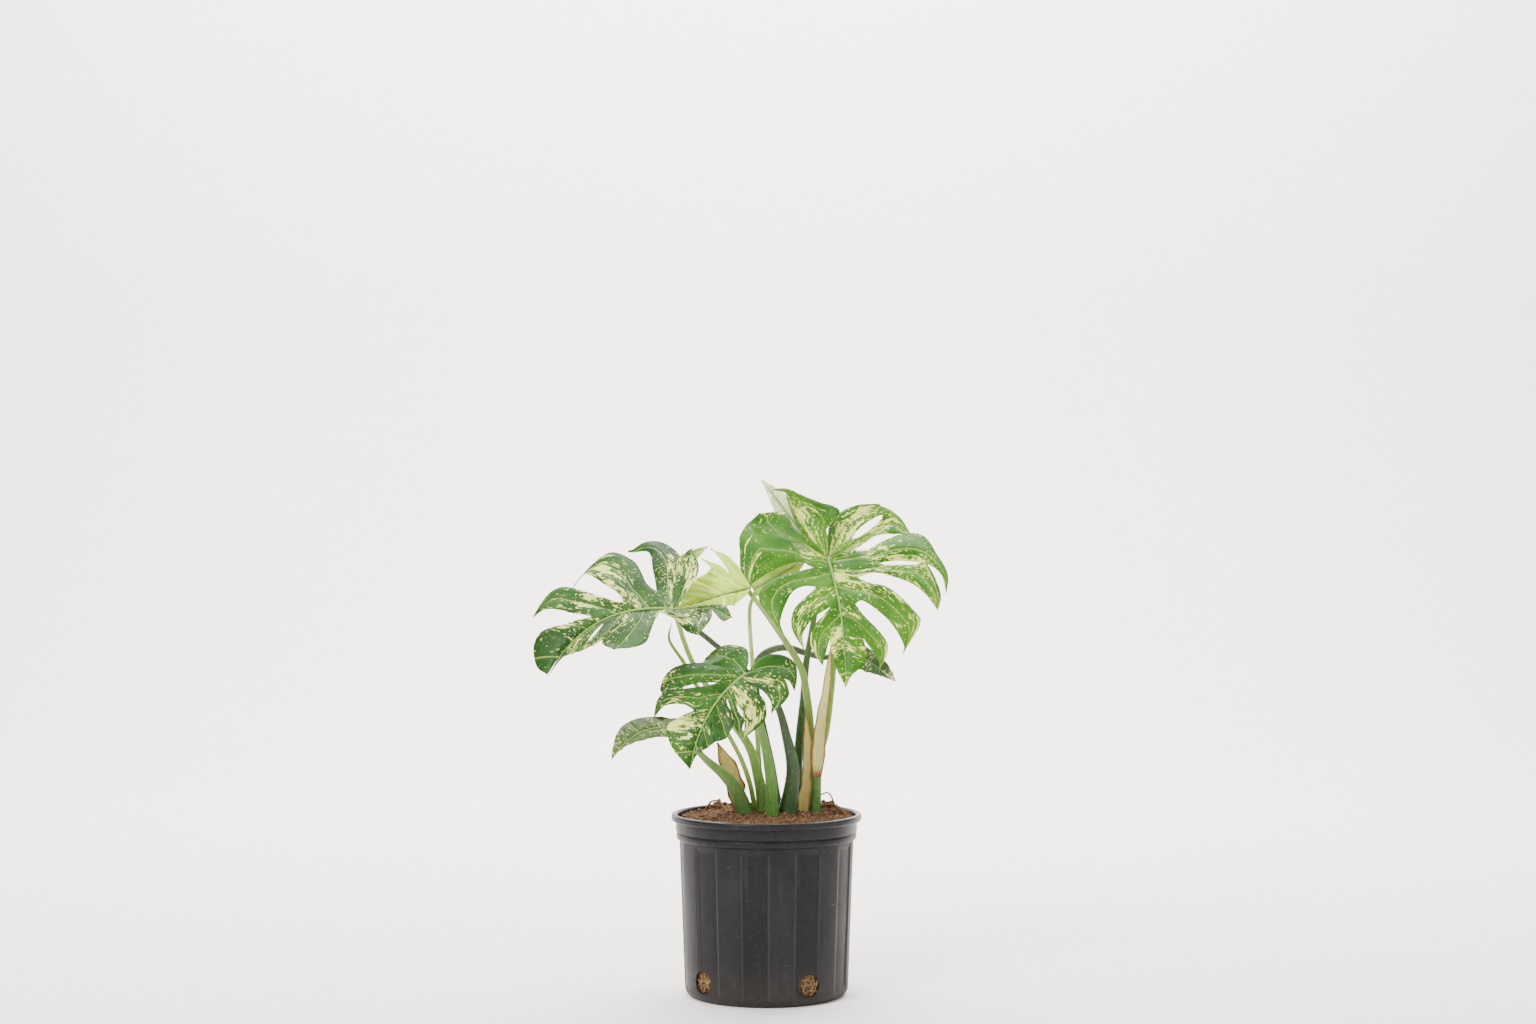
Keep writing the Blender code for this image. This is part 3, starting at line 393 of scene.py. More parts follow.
def lobe(stalk_edge, tip, tip_edge):
    """A lobe's outline: points up the edge nearer the stalk, its tip, and points back down the other edge.

    A third number lifts a point off the blade's plane.
    """
    return {"before": stalk_edge, "tip": tip, "after": tip_edge}


def flat3(point):
    return Vector((point[0], point[1], point[2] if len(point) > 2 else 0.0))


def curve_through(points, share):
    """A point at this share of the length of a smooth curve through the points."""
    knots = [flat3(p) for p in points]
    if len(knots) == 2:
        return knots[0].lerp(knots[1], share)
    steps = [(b - a).length for a, b in zip(knots, knots[1:])]
    target = share * sum(steps)
    index = 0
    while index < len(steps) - 1 and target > steps[index]:
        target -= steps[index]
        index += 1
    t = min(1.0, target / max(steps[index], 1e-9))
    p1 = knots[index]
    p2 = knots[index + 1]
    p0 = knots[index - 1] if index > 0 else p1 * 2 - p2
    p3 = knots[index + 2] if index + 2 < len(knots) else p2 * 2 - p1
    bend = (p2 - p0) * t + (p0 * 2 - p1 * 5 + p2 * 4 - p3) * t**2 + (p1 * 3 - p0 - p2 * 3 + p3) * t**3
    return p1 + bend * 0.5


def length_of(points):
    knots = [flat3(p) for p in points]
    return sum((b - a).length for a, b in zip(knots, knots[1:]))


def joined_rows(half):
    """How many rows are along the joined part of each line, the same for the lobes on both its sides."""
    found = []
    for index, line in enumerate(half["lines"]):
        beside = []
        if index > 0:
            shape = half["lobes"][index - 1]
            beside.append(length_of((line["sinus"], *shape["after"][::-1], shape["tip"])))
        if index < len(half["lobes"]):
            shape = half["lobes"][index]
            beside.append(length_of((line["sinus"], *shape["before"], shape["tip"])))
        outer = sum(beside) / len(beside)
        inner = length_of([(0, line["station"]), line["sinus"]])
        rows = round(ROWS * inner / (inner + outer))
        found.append(max(9 if line["slit"] else 2, min(ROWS - 5, rows)))
    return found


def row_shares(line, rows):
    """Where the rows are along the joined part of a line, and how open its slit is there."""
    if not line["slit"]:
        return [(k / rows, 0.0) for k in range(rows + 1)]
    start, end = line["slit"][:2]
    before = max(1, round(rows * start))
    after = max(1, round(rows * (1 - end)))
    open_rows = max(4, rows - before - after)
    before = rows - after - open_rows
    if before < 1:
        before = 1
        open_rows = rows - 1 - after
    found = [(start * k / before, 0.0) for k in range(before)]
    for k in range(open_rows + 1):
        found.append((start + (end - start) * k / open_rows, math.sin(math.pi * k / open_rows) ** 0.6))
    found += [(end + (1 - end) * k / after, 0.0) for k in range(1, after + 1)]
    return found


def line_points(line, rows, toward):
    """The points of a line from the midrib to its sinus, for the lobe before it (-1) or after it (1)."""
    root = Vector((0, line["station"], 0))
    end = flat3(line["sinus"])
    across = Vector((end.x, end.y, 0)) - root
    side = Vector((-across.y, across.x, 0)).normalized()
    if side.y < 0:
        side = -side
    found = []
    for share, opening in row_shares(line, rows):
        point = root.lerp(end, share)
        if opening > 1e-6:
            point += side * toward * line["slit"][2] * opening
            point.z += toward * opening * (line["slit"][3] if len(line["slit"]) > 3 else 0.0)
        found.append(point)
    return found


class Blade:
    """Places (across, along, lift), in blade lengths, on a blade that hangs from attach to tip."""

    def __init__(self, attach, tip, face, arch=0.08, bow=0.0, fold=(0.0, 0.0), droop=0.15):
        base = Vector((0, 0, RIM_HEIGHT))
        self.root = Vector(attach) + base
        along = Vector(tip) + base - self.root
        self.size = along.length
        self.along = along.normalized()
        face = Vector(face)
        self.face = (face - self.along * face.dot(self.along)).normalized()
        self.across = self.face.cross(self.along)
        self.arch = arch
        self.bow = bow
        self.fold = fold
        self.droop = droop

    def place(self, side, point):
        u, v, lift = point
        fold = math.radians(self.fold[0 if side < 0 else 1])
        out = self.across * (side * math.cos(fold)) + self.face * math.sin(fold)
        hump = 4 * v * (1 - v) if v > 0 else 0.0
        rise = self.arch * (hump if v > 0 else 2 * v) - self.droop * u * u + lift
        spot = self.along * v + out * u + self.face * rise + self.across * (self.bow * hump)
        return self.root + spot * self.size

    def underside(self, distance):
        """A point this far below the place where the stalk meets the blade."""
        return self.root - self.face * distance


class Surface:
    """Collects the two halves of a blade as one mesh, with the map and numbers that its material reads."""

    def __init__(self, blade):
        self.blade = blade
        self.bm = bmesh.new()
        self.map = self.bm.loops.layers.uv.new("leaf")
        self.rib = self.bm.verts.layers.float.new("rib")
        self.half_width = self.bm.verts.layers.float.new("half_width")
        self.veins = []

    def relief(self, side, point, reach, q, k_share):
        """Small swells of a real blade: a groove at the midrib and each vein, quilting, and a wavy margin."""
        size = self.blade.size
        u, v, lift = point
        groove = -0.0022 * math.exp(-((u * size / 0.0035) ** 2))
        vein = abs(q % 1.0 - 0.5)
        fold = -0.0016 * math.exp(-((vein / 0.09) ** 2)) * min(1.0, reach / 0.015)
        quilt = 0.0005 * math.sin(q * 17 + reach * 150 * side)
        wave = 0.0024 * k_share**3 * math.sin(reach * 62 + q * 2.6 + side)
        spot = self.blade.place(side, point) * 17
        broad = 0.0018 * noise.noise(spot) * min(1.0, reach / 0.02)
        return lift + (groove + fold + quilt + wave + broad) / size

    def turned(self, side, outward_first):
        """Whether faces listed along these rows would show the blade's back on its front."""
        root = self.blade.place(side, (0.0, 0.30, 0.0))
        out = self.blade.place(side, (0.02, 0.30, 0.0)) - root
        ahead = self.blade.place(side, (0.0, 0.32, 0.0)) - root
        return (out.cross(ahead).dot(self.blade.face) > 0) != outward_first

    def patch(self, side, rows, q_rows, roots, widths, outward_first=False):
        size = self.blade.size
        turned = self.turned(side, outward_first)
        grid = []
        for k, (row, qs, starts) in enumerate(zip(rows, q_rows, roots)):
            made = []
            for point, q, start in zip(row, qs, starts):
                reach = (Vector(point[:2]) - Vector((0, start))).length * size
                lift = self.relief(side, point, reach, q, k / (len(rows) - 1))
                vert = self.bm.verts.new(self.blade.place(side, (point[0], point[1], lift)))
                taper = 1.0 - 0.75 * max(0.0, min(1.0, point[1]))
                vert[self.rib] = abs(point[0]) * size / taper if point[1] > -0.001 else 0.01
                vert[self.half_width] = widths[k] * size
                made.append((vert, (reach, q + (40.0 if side > 0 else 0.0))))
            grid.append(made)
        for low, high in zip(grid, grid[1:]):
            for c in range(len(low) - 1):
                corners = [low[c], low[c + 1], high[c + 1], high[c]]
                if turned:
                    corners.reverse()
                face = self.bm.faces.new([vert for vert, _ in corners])
                for loop, (_, spot) in zip(face.loops, corners):
                    loop[self.map].uv = spot

    def add_lobe(self, side, index, before, rows_a, shape, after, rows_b, ribs):
        first = before["sinus"], *shape["before"], shape["tip"]
        second = after["sinus"], *shape["after"][::-1], shape["tip"]
        edge_a = line_points(before, rows_a, 1)
        edge_b = line_points(after, rows_b, -1)
        for k in range(rows_a + 1, ROWS + 1):
            edge_a.append(curve_through(first, (k - rows_a) / (ROWS - rows_a)))
        for k in range(rows_b + 1, ROWS + 1):
            edge_b.append(curve_through(second, (k - rows_b) / (ROWS - rows_b)))
        columns = len(ribs) - 1 if len(ribs) > 1 else COLUMNS
        rows = []
        qs = []
        roots = []
        widths = []
        for k in range(ROWS + 1):
            width = (edge_b[k] - edge_a[k]).length
            row = []
            shares = []
            starts = []
            for c in range(columns + 1):
                share = c / columns
                if len(ribs) > 1:
                    share = (ribs[c] - ribs[0]) / (ribs[-1] - ribs[0])
                start = before["station"] + share * (after["station"] - before["station"])
                if k == 0:
                    point = Vector((0, start, 0))
                else:
                    point = edge_a[k].lerp(edge_b[k], share)
                    point.z -= VEIN_SINK * math.sin(math.pi * share) * min(1.0, 4 * width)
                row.append(point)
                shares.append(index + share)
                starts.append(start)
            rows.append(row)
            qs.append(shares)
            roots.append(starts)
            widths.append(max(width, 0.01) / 2)
        self.patch(side, rows, qs, roots, widths)
        vein = [edge_a[k].lerp(edge_b[k], 0.5) for k in range(1, ROWS - 2)]
        for k, point in enumerate(vein):
            point.z -= VEIN_SINK * min(1.0, 4 * widths[k + 1] * 2)
        self.veins.append([self.blade.place(side, point) for point in vein])

    def add_end(self, side, first_q, line, joined, edge, ribs):
        shares = [share for share, _ in row_shares(line, joined)]
        outline = line["sinus"], *edge, (0, 1)
        rows = [line_points(line, joined, 1)]
        for k in range(1, len(ribs)):
            root = Vector((0, ribs[k], 0))
            end = curve_through(outline, k / (len(ribs) - 1))
            rows.append([root.lerp(end, share) for share in shares])
        last = len(ribs) - 1
        qs = [[first_q + 2.0 * k / last] * len(shares) for k in range(last + 1)]
        roots = [[v] * len(shares) for v in ribs]
        spread = (1 - ribs[0]) / 4
        self.patch(side, rows, qs, roots, [spread] * (last + 1), True)
        for k in (round(last * 0.25), round(last * 0.75)):
            self.veins.append([self.blade.place(side, p) for p in rows[k][1:-1]])

    def add_half(self, side, half, ribs):
        lines = half["lines"]
        rows = joined_rows(half)
        for index, shape in enumerate(half["lobes"]):
            before = lines[index]
            after = lines[index + 1]
            span = [v for v in ribs if before["station"] <= v <= after["station"]]
            if before["station"] == after["station"]:
                span = []
            self.add_lobe(side, index, before, rows[index], shape, after, rows[index + 1], span)
        span = [v for v in ribs if v >= lines[-1]["station"]]
        self.add_end(side, len(lines) - 1, lines[-1], rows[-1], half["end"], span)


def all_stations(halves):
    found = {0.0, 1.0}
    for half in halves:
        found.update(line["station"] for line in half["lines"])
    ordered = sorted(found)
    for a, b in zip(ordered, ordered[1:]):
        parts = max(2, round((b - a) / RIB_STEP))
        found.update(a + (b - a) * k / parts for k in range(1, parts))
    return sorted(found)


def build_ribs(name, surface, material):
    """The midrib and side veins where they stand out of the underside."""
    blade = surface.blade
    bm = bmesh.new()
    midrib = []
    for k in range(-2, 37):
        v = k / 40
        spot = blade.place(1, (0.0, max(v, 0.0), 0.0)) - blade.face * (0.0012 + 0.0006 * (v < 0))
        midrib.append((*spot, (0.0021 - 0.0017 * v) * min(1.0, blade.size / 0.13)))
    add_tube(bm, midrib[2:], 8)
    for vein in surface.veins:
        if len(vein) < 4:
            continue
        path = []
        for k, spot in enumerate(vein):
            share = k / (len(vein) - 1)
            low = spot - blade.face * 0.0021
            path.append((*low, 0.0010 - 0.0007 * share))
        add_tube(bm, path[::2], 6)
    item = make_object("ribs_" + name, bm, [material])
    return declare(item, "pale_leaf")


def build_blade(name, blade, left, right, front, back, rib_material, slot_name):
    surface = Surface(blade)
    ribs = all_stations((left, right))
    surface.add_half(-1, left, ribs)
    surface.add_half(1, right, ribs)
    bm = surface.bm
    bmesh.ops.remove_doubles(bm, verts=bm.verts, dist=0.00002)
    item = make_object("blade_" + name, bm, [front, back])
    thicken(item, BLADE_THICKNESS, 1)
    build_ribs(name, surface, rib_material)
    return declare(item, slot_name, "leaf_" + name)


RIGHT = Blade((0.082, -0.010, 0.340), (0.103, -0.100, 0.175), (0, -0.88, 0.48), arch=0.07, bow=0.03)
RIGHT_NEAR = {
    "lines": [
        cut(0.0, (0.03, -0.24)),
        cut(0.0, (0.50, -0.39), slit=(0.38, 0.88, 0.030)),
        cut(0.0, (0.19, -0.05)),
        cut(0.06, (0.68, 0.09), slit=(0.50, 0.95, 0.018)),
        cut(0.14, (0.16, 0.19)),
        cut(0.34, (0.11, 0.41)),
        cut(0.60, (0.13, 0.67)),
    ],
    "lobes": [
        lobe([(0.08, -0.35), (0.23, -0.43), (0.36, -0.44)], (0.43, -0.43), []),
        lobe([(0.57, -0.31)], (0.62, -0.18, -0.02), [(0.39, -0.17), (0.28, -0.11)]),
        lobe([(0.29, -0.05), (0.40, -0.11), (0.55, -0.17), (0.71, -0.15), (0.79, 0.05), (0.81, 0.20)],
             (0.77, 0.33, -0.04), [(0.77, 0.22), (0.74, 0.14)]),
        lobe([(0.70, 0.15), (0.72, 0.27), (0.72, 0.39)], (0.68, 0.48, -0.03),
             [(0.61, 0.35), (0.51, 0.25), (0.30, 0.16)]),
        lobe([(0.25, 0.25), (0.37, 0.30), (0.52, 0.50), (0.54, 0.60)], (0.40, 0.80, -0.03),
             [(0.41, 0.74), (0.32, 0.55), (0.17, 0.39)]),
        lobe([(0.15, 0.49), (0.29, 0.70), (0.29, 0.80)], (0.23, 0.92, -0.02), [(0.23, 0.85), (0.17, 0.74)]),
    ],
    "end": [(0.15, 0.78), (0.12, 0.87), (0.04, 0.93)],
}
RIGHT_FAR = {
    "lines": [
        cut(0.0, (-0.01, -0.19, 0.12)),
        cut(0.0, (0.22, -0.53, 0.10)),
        cut(0.0, (0.05, -0.06, 0.02)),
        cut(0.0, (0.54, -0.38), slit=(0.22, 0.46, 0.020)),
        cut(0.06, (0.11, 0.07)),
        cut(0.20, (0.13, 0.24)),
        cut(0.34, (0.06, 0.41)),
        cut(0.60, (0.10, 0.66)),
    ],
    "lobes": [
        lobe([(-0.12, -0.32, 0.14), (0.04, -0.43, 0.14), (0.22, -0.56, 0.14)], (0.33, -0.58, 0.12),
             [(0.26, -0.55, 0.12)]),
        lobe([], (0.235, -0.55, 0.11), [(0.23, -0.44, 0.12), (0.20, -0.28, 0.12), (0.13, -0.12, 0.08)]),
        lobe([(0.12, -0.18), (0.21, -0.30), (0.24, -0.41), (0.32, -0.46)], (0.43, -0.46), []),
        lobe([(0.60, -0.28), (0.61, -0.15), (0.62, 0.00)], (0.58, 0.13, -0.02), [(0.41, 0.05), (0.22, 0.00)]),
        lobe([(0.26, 0.09), (0.41, 0.12), (0.51, 0.19), (0.54, 0.30)], (0.41, 0.56, -0.02),
             [(0.42, 0.46), (0.32, 0.27), (0.22, 0.22)]),
        lobe([(0.22, 0.31), (0.32, 0.40), (0.35, 0.54)], (0.28, 0.70, -0.02), [(0.28, 0.60), (0.20, 0.49)]),
        lobe([(0.11, 0.46), (0.21, 0.57), (0.23, 0.70)], (0.16, 0.84, -0.01), [(0.13, 0.75)]),
    ],
    "end": [(0.09, 0.76), (0.06, 0.88)],
}

LEFT = Blade((-0.120, -0.042, 0.2735), (-0.285, -0.090, 0.190), (-0.11, -0.76, 0.64), arch=0.10, bow=-0.13,
             fold=(4, 12), droop=0.10)
LEFT_FAR = {
    "lines": [
        cut(0.0, (0.09, -0.12)),
        cut(0.0, (0.25, -0.17)),
        cut(0.06, (0.18, 0.04)),
        cut(0.26, (0.10, 0.29)),
        cut(0.48, (0.06, 0.54)),
    ],
    "lobes": [
        lobe([(0.19, -0.26), (0.30, -0.34)], (0.46, -0.37), [(0.42, -0.29)]),
        lobe([(0.39, -0.25), (0.50, -0.26), (0.63, -0.21), (0.68, -0.10)], (0.65, 0.03, -0.02),
             [(0.58, -0.09), (0.39, -0.03)]),
        lobe([(0.25, 0.07), (0.39, 0.05), (0.51, 0.05), (0.60, 0.12), (0.57, 0.22)], (0.39, 0.52, -0.02),
             [(0.43, 0.40), (0.28, 0.33), (0.18, 0.29)]),
        lobe([(0.12, 0.35), (0.27, 0.47), (0.41, 0.58), (0.44, 0.70)], (0.42, 0.87, -0.02),
             [(0.35, 0.76), (0.19, 0.64), (0.12, 0.58)]),
    ],
    "end": [(0.08, 0.58), (0.15, 0.71), (0.26, 0.88), (0.24, 0.98), (0.12, 1.03)],
}
LEFT_NEAR = {
    "lines": [
        cut(0.0, (0.06, -0.10, 0.03)),
        cut(0.0, (0.20, -0.19, 0.06)),
        cut(0.06, (0.05, 0.11)),
        cut(0.33, (0.10, 0.36)),
        cut(0.40, (0.14, 0.73), slit=(0.30, 0.80, 0.012)),
    ],
    "lobes": [
        lobe([(0.13, -0.18, 0.06), (0.20, -0.29, 0.06)], (0.32, -0.28, 0.03), [(0.34, -0.20, 0.05)]),
        lobe([(0.28, -0.15, 0.07), (0.33, -0.09, 0.06)], (0.35, -0.01, 0.02),
             [(0.30, 0.05, 0.01), (0.14, 0.06)]),
        lobe([(0.13, 0.17), (0.25, 0.25), (0.37, 0.34), (0.38, 0.45)], (0.32, 0.56),
             [(0.20, 0.59), (0.15, 0.47)]),
        lobe([(0.15, 0.45), (0.18, 0.56)], (0.17, 0.65), []),
    ],
    "end": [(0.08, 0.80), (0.03, 0.87)],
}

CENTRE = Blade((-0.028, -0.075, 0.190), (-0.098, -0.140, 0.0725), (-0.04, -0.86, 0.50), arch=0.08, bow=-0.08)
CENTRE_FAR = {
    "lines": [
        cut(0.0, (0.03, -0.12)),
        cut(0.0, (0.36, 0.07), slit=(0.16, 0.82, 0.016, 0.045)),
        cut(0.10, (0.46, 0.50), slit=(0.25, 0.72, 0.020)),
        cut(0.42, (0.13, 0.53)),
    ],
    "lobes": [
        lobe([(0.08, -0.21, -0.02), (0.15, -0.26, -0.04), (0.30, -0.23, -0.06), (0.38, -0.13, -0.06)],
             (0.40, 0.00, -0.05), []),
        lobe([(0.42, 0.11), (0.51, 0.20), (0.53, 0.34)], (0.49, 0.48), []),
        lobe([(0.47, 0.58)], (0.44, 0.72, -0.02), [(0.38, 0.59), (0.24, 0.52)]),
    ],
    "end": [(0.24, 0.66), (0.29, 0.76), (0.20, 0.90)],
}
CENTRE_NEAR = {
    "lines": [
        cut(0.0, (0.02, -0.12)),
        cut(0.0, (0.30, -0.13)),
        cut(0.10, (0.07, 0.10)),
        cut(0.20, (0.30, 0.42), slit=(0.55, 0.90, 0.010)),
        cut(0.26, (0.05, 0.30)),
        cut(0.50, (0.16, 0.70)),
    ],
    "lobes": [
        lobe([(0.02, -0.19), (0.08, -0.28), (0.20, -0.34), (0.32, -0.32), (0.40, -0.20)],
             (0.44, -0.07, -0.02), [(0.37, -0.12)]),
        lobe([(0.36, -0.10), (0.43, 0.00), (0.46, 0.12)], (0.44, 0.24, -0.02), [(0.36, 0.14), (0.22, 0.08)]),
        lobe([(0.20, 0.12), (0.33, 0.17), (0.43, 0.30), (0.42, 0.43)], (0.36, 0.56, -0.02), [(0.34, 0.50)]),
        lobe([(0.31, 0.47)], (0.33, 0.56, -0.04), [(0.22, 0.48), (0.12, 0.36)]),
        lobe([(0.10, 0.36), (0.20, 0.43), (0.24, 0.52)], (0.23, 0.62, -0.02), [(0.20, 0.67)]),
    ],
    "end": [(0.10, 0.79), (0.03, 0.88), (0.01, 0.95)],
}

LIME = Blade((-0.024, 0.040, 0.300), (-0.119, 0.025, 0.271), (-0.10, -0.70, 0.70), arch=0.03, droop=0.08)
LIME_FAR = {
    "lines": [
        cut(0.0, (0.06, -0.04)),
        cut(0.0, (0.35, 0.17)),
        cut(0.12, (0.46, 0.45)),
    ],
    "lobes": [
        lobe([(0.40, 0.00), (0.75, 0.10)], (0.95, 0.25), [(0.72, 0.20), (0.50, 0.17)]),
        lobe([(0.55, 0.24)], (0.80, 0.43, -0.02), [(0.56, 0.37)]),
    ],
    "end": [(0.42, 0.62), (0.20, 0.85)],
}
LIME_NEAR = {
    "lines": [
        cut(0.0, (0.06, 0.00)),
        cut(0.30, (0.22, 0.34)),
    ],
    "lobes": [
        lobe([(0.12, 0.06), (0.19, 0.18)], (0.24, 0.28), []),
    ],
    "end": [(0.24, 0.48), (0.18, 0.70)],
}


def plain_half(*widths):
    """Half of a blade with no deep cuts: its half width at five even places from the stalk to the tip."""
    places = (-0.06, 0.12, 0.34, 0.56, 0.78)
    outline = [(width, place) for width, place in zip(widths, places)]
    return {
        "lines": [cut(0.0, (0.6 * widths[0], -0.05)), cut(0.34, outline[2])],
        "lobes": [lobe([outline[0]], outline[1], [])],
        "end": outline[3:],
    }


LOW_LEFT = Blade(
    (-0.117, -0.015, 0.1155), (-0.205, -0.045, 0.0755), (0.05, -0.50, 0.85), arch=0.12, bow=-0.10
)
TOP_BACK = Blade((0.072, 0.046, 0.342), (-0.008, 0.066, 0.447), (0, -0.95, 0.30), arch=0.03)
BACK_RIGHT = Blade((0.100, 0.062, 0.217), (0.176, 0.062, 0.172), (0, -0.70, 0.70), arch=0.08)
YOUNG_LEFT = Blade((-0.126, 0.064, 0.270), (-0.077, 0.064, 0.356), (0.10, -0.95, 0.20), arch=0.04, bow=0.26)
LIME_BAND = Blade((-0.017, 0.062, 0.298), (0.056, 0.056, 0.341), (0.10, -0.85, 0.50), arch=-0.03)

BLADES = (
    ("right", RIGHT, RIGHT_FAR, RIGHT_NEAR, "bright_green_leaf"),
    ("left", LEFT, LEFT_FAR, LEFT_NEAR, "dark_green_leaf"),
    ("centre", CENTRE, CENTRE_FAR, CENTRE_NEAR, "dark_green_leaf"),
    ("lime", LIME, LIME_FAR, LIME_NEAR, "lime_leaf"),
    ("low_left", LOW_LEFT,
     plain_half(0.20, 0.22, 0.28, 0.31, 0.22), plain_half(0.20, 0.24, 0.20, 0.14, 0.06), "olive_leaf"),
    ("top_back", TOP_BACK,
     plain_half(0.12, 0.20, 0.20, 0.14, 0.09), plain_half(0.12, 0.20, 0.20, 0.12, 0.06), "pale_leaf"),
    ("back_right", BACK_RIGHT,
     plain_half(0.18, 0.25, 0.24, 0.19, 0.10), plain_half(0.18, 0.24, 0.22, 0.20, 0.14), "olive_leaf"),
    ("young_left", YOUNG_LEFT,
     plain_half(0.08, 0.12, 0.14, 0.14, 0.12), plain_half(0.08, 0.12, 0.12, 0.08, 0.04), "lime_leaf"),
    ("lime_band", LIME_BAND,
     plain_half(0.12, 0.18, 0.20, 0.18, 0.12), plain_half(0.10, 0.14, 0.14, 0.12, 0.08), "lime_leaf"),
)


# ---------------------------------------------------------------- stalks

STALK_DEPTH = 0.014


def stalk_shape(share, angle):
    """A shallow channel on the upper side, a wide grooved foot and a wrinkled knee."""
    channel = 0.10 * math.exp(-(((angle - 1.5 * math.pi + math.pi) % (2 * math.pi) - math.pi) / 0.42) ** 2)
    foot = max(0.0, 1 - share / 0.3)
    ridges = 0.022 * math.sin(9 * angle) + 0.05 * foot * math.cos(2 * angle)
    knee = 0.14 * math.exp(-(((share - 0.965) / 0.018) ** 2))
    wrinkle = 0.02 * math.sin(share * 900) if share > 0.94 else 0.0
    flare = 0.32 * math.exp(-((share / 0.09) ** 2))
    return 1 + flare - channel * (1 - 0.5 * foot) + ridges + knee + wrinkle


STALKS = (
    ("left", LEFT, 0.0036, 0.016, "dark_stalk",
     ((0.028, -0.022, 0.004, 0.0105), (0.035, -0.028, 0.059, 0.0088), (0.026, -0.036, 0.107, 0.0062),
      (0.015, -0.038, 0.145, 0.0047), (-0.003, -0.036, 0.172, 0.0041), (-0.028, -0.033, 0.192, 0.0038),
      (-0.049, -0.030, 0.210, 0.0037), (-0.069, -0.031, 0.227, 0.0037), (-0.090, -0.036, 0.244, 0.0036))),
    ("centre", CENTRE, 0.0032, 0.012, "green_stalk",
     ((0.008, -0.040, 0.005, 0.0080), (0.006, -0.046, 0.048, 0.0076), (-0.002, -0.054, 0.096, 0.0058),
      (-0.012, -0.062, 0.136, 0.0044), (-0.021, -0.066, 0.164, 0.0036))),
    ("right", RIGHT, 0.0040, 0.016, "green_stalk",
     ((0.0645, 0.008, 0.004, 0.0074), (0.068, 0.010, 0.069, 0.0072), (0.078, 0.015, 0.106, 0.0062),
      (0.084, 0.020, 0.143, 0.0054), (0.089, 0.024, 0.190, 0.0048), (0.091, 0.026, 0.230, 0.0045),
      (0.091, 0.022, 0.284, 0.0044))),
    ("lime", LIME, 0.0030, 0.010, "green_stalk",
     ((0.0495, 0.014, 0.004, 0.0050), (0.054, 0.016, 0.053, 0.0050), (0.059, 0.014, 0.108, 0.0050),
      (0.053, 0.016, 0.163, 0.0050), (0.046, 0.018, 0.193, 0.0048), (0.029, 0.022, 0.222, 0.0044),
      (0.014, 0.028, 0.244, 0.0040), (-0.004, 0.038, 0.269, 0.0036))),
    ("lime_band", LIME_BAND, 0.0026, 0.010, "pale_stalk",
     ((-0.007, 0.010, 0.005, 0.0040), (-0.011, 0.020, 0.080, 0.0034), (-0.018, 0.032, 0.184, 0.0031),
      (-0.022, 0.050, 0.235, 0.0029), (-0.0225, 0.066, 0.272, 0.0027))),
    ("top_back", TOP_BACK, 0.0034, 0.012, "green_stalk",
     ((0.040, 0.029, 0.004, 0.0068), (0.044, 0.034, 0.088, 0.0060), (0.050, 0.040, 0.151, 0.0050),
      (0.054, 0.044, 0.199, 0.0046), (0.063, 0.048, 0.250, 0.0042), (0.070, 0.054, 0.305, 0.0038))),
    ("back_right", BACK_RIGHT, 0.0036, 0.012, "dark_stalk",
     ((0.014, 0.014, 0.004, 0.0062), (0.006, 0.024, 0.060, 0.0060), (-0.005, 0.036, 0.110, 0.0056),
      (-0.013, 0.050, 0.150, 0.0052), (-0.016, 0.062, 0.188, 0.0048), (-0.003, 0.068, 0.209, 0.0048),
      (0.025, 0.072, 0.217, 0.0048), (0.055, 0.074, 0.209, 0.0044), (0.080, 0.078, 0.203, 0.0038))),
    ("young_left", YOUNG_LEFT, 0.0032, 0.010, "pale_stalk",
     ((-0.004, -0.010, 0.005, 0.0076), (-0.010, -0.008, 0.044, 0.0070), (-0.024, 0.000, 0.090, 0.0058),
      (-0.057, 0.012, 0.133, 0.0046), (-0.081, 0.020, 0.169, 0.0040), (-0.099, 0.036, 0.197, 0.0037),
      (-0.113, 0.056, 0.229, 0.0035))),
    ("low_left", LOW_LEFT, 0.0030, 0.010, "green_stalk",
     ((-0.029, -0.024, 0.004, 0.0105), (-0.040, -0.025, 0.033, 0.0092), (-0.056, -0.026, 0.053, 0.0072),
      (-0.080, -0.022, 0.073, 0.0048), (-0.100, -0.014, 0.093, 0.0036))),
)


def build_stalk(name, blade, radius, knee, points, material, slot_name):
    knots = [(*points[0][:2], -STALK_DEPTH, points[0][3]), *points]
    knots = [(x, y, RIM_HEIGHT + z, r) for x, y, z, r in knots]
    for distance in (knee, 0.35 * radius):
        spot = blade.underside(distance)
        knots.append((*spot, radius))
    bm = bmesh.new()
    along = bm.verts.layers.float.new("along")
    add_tube(bm, smooth_path(knots, 0.003), 24, stalk_shape, along)
    item = make_object("petiole_" + name, bm, [material])
    return declare(item, slot_name, "stalk_" + name)


# ---------------------------------------------------------------- sheaths

SHEATH_THICKNESS = 0.0009
SHEATH_COLUMNS = 12


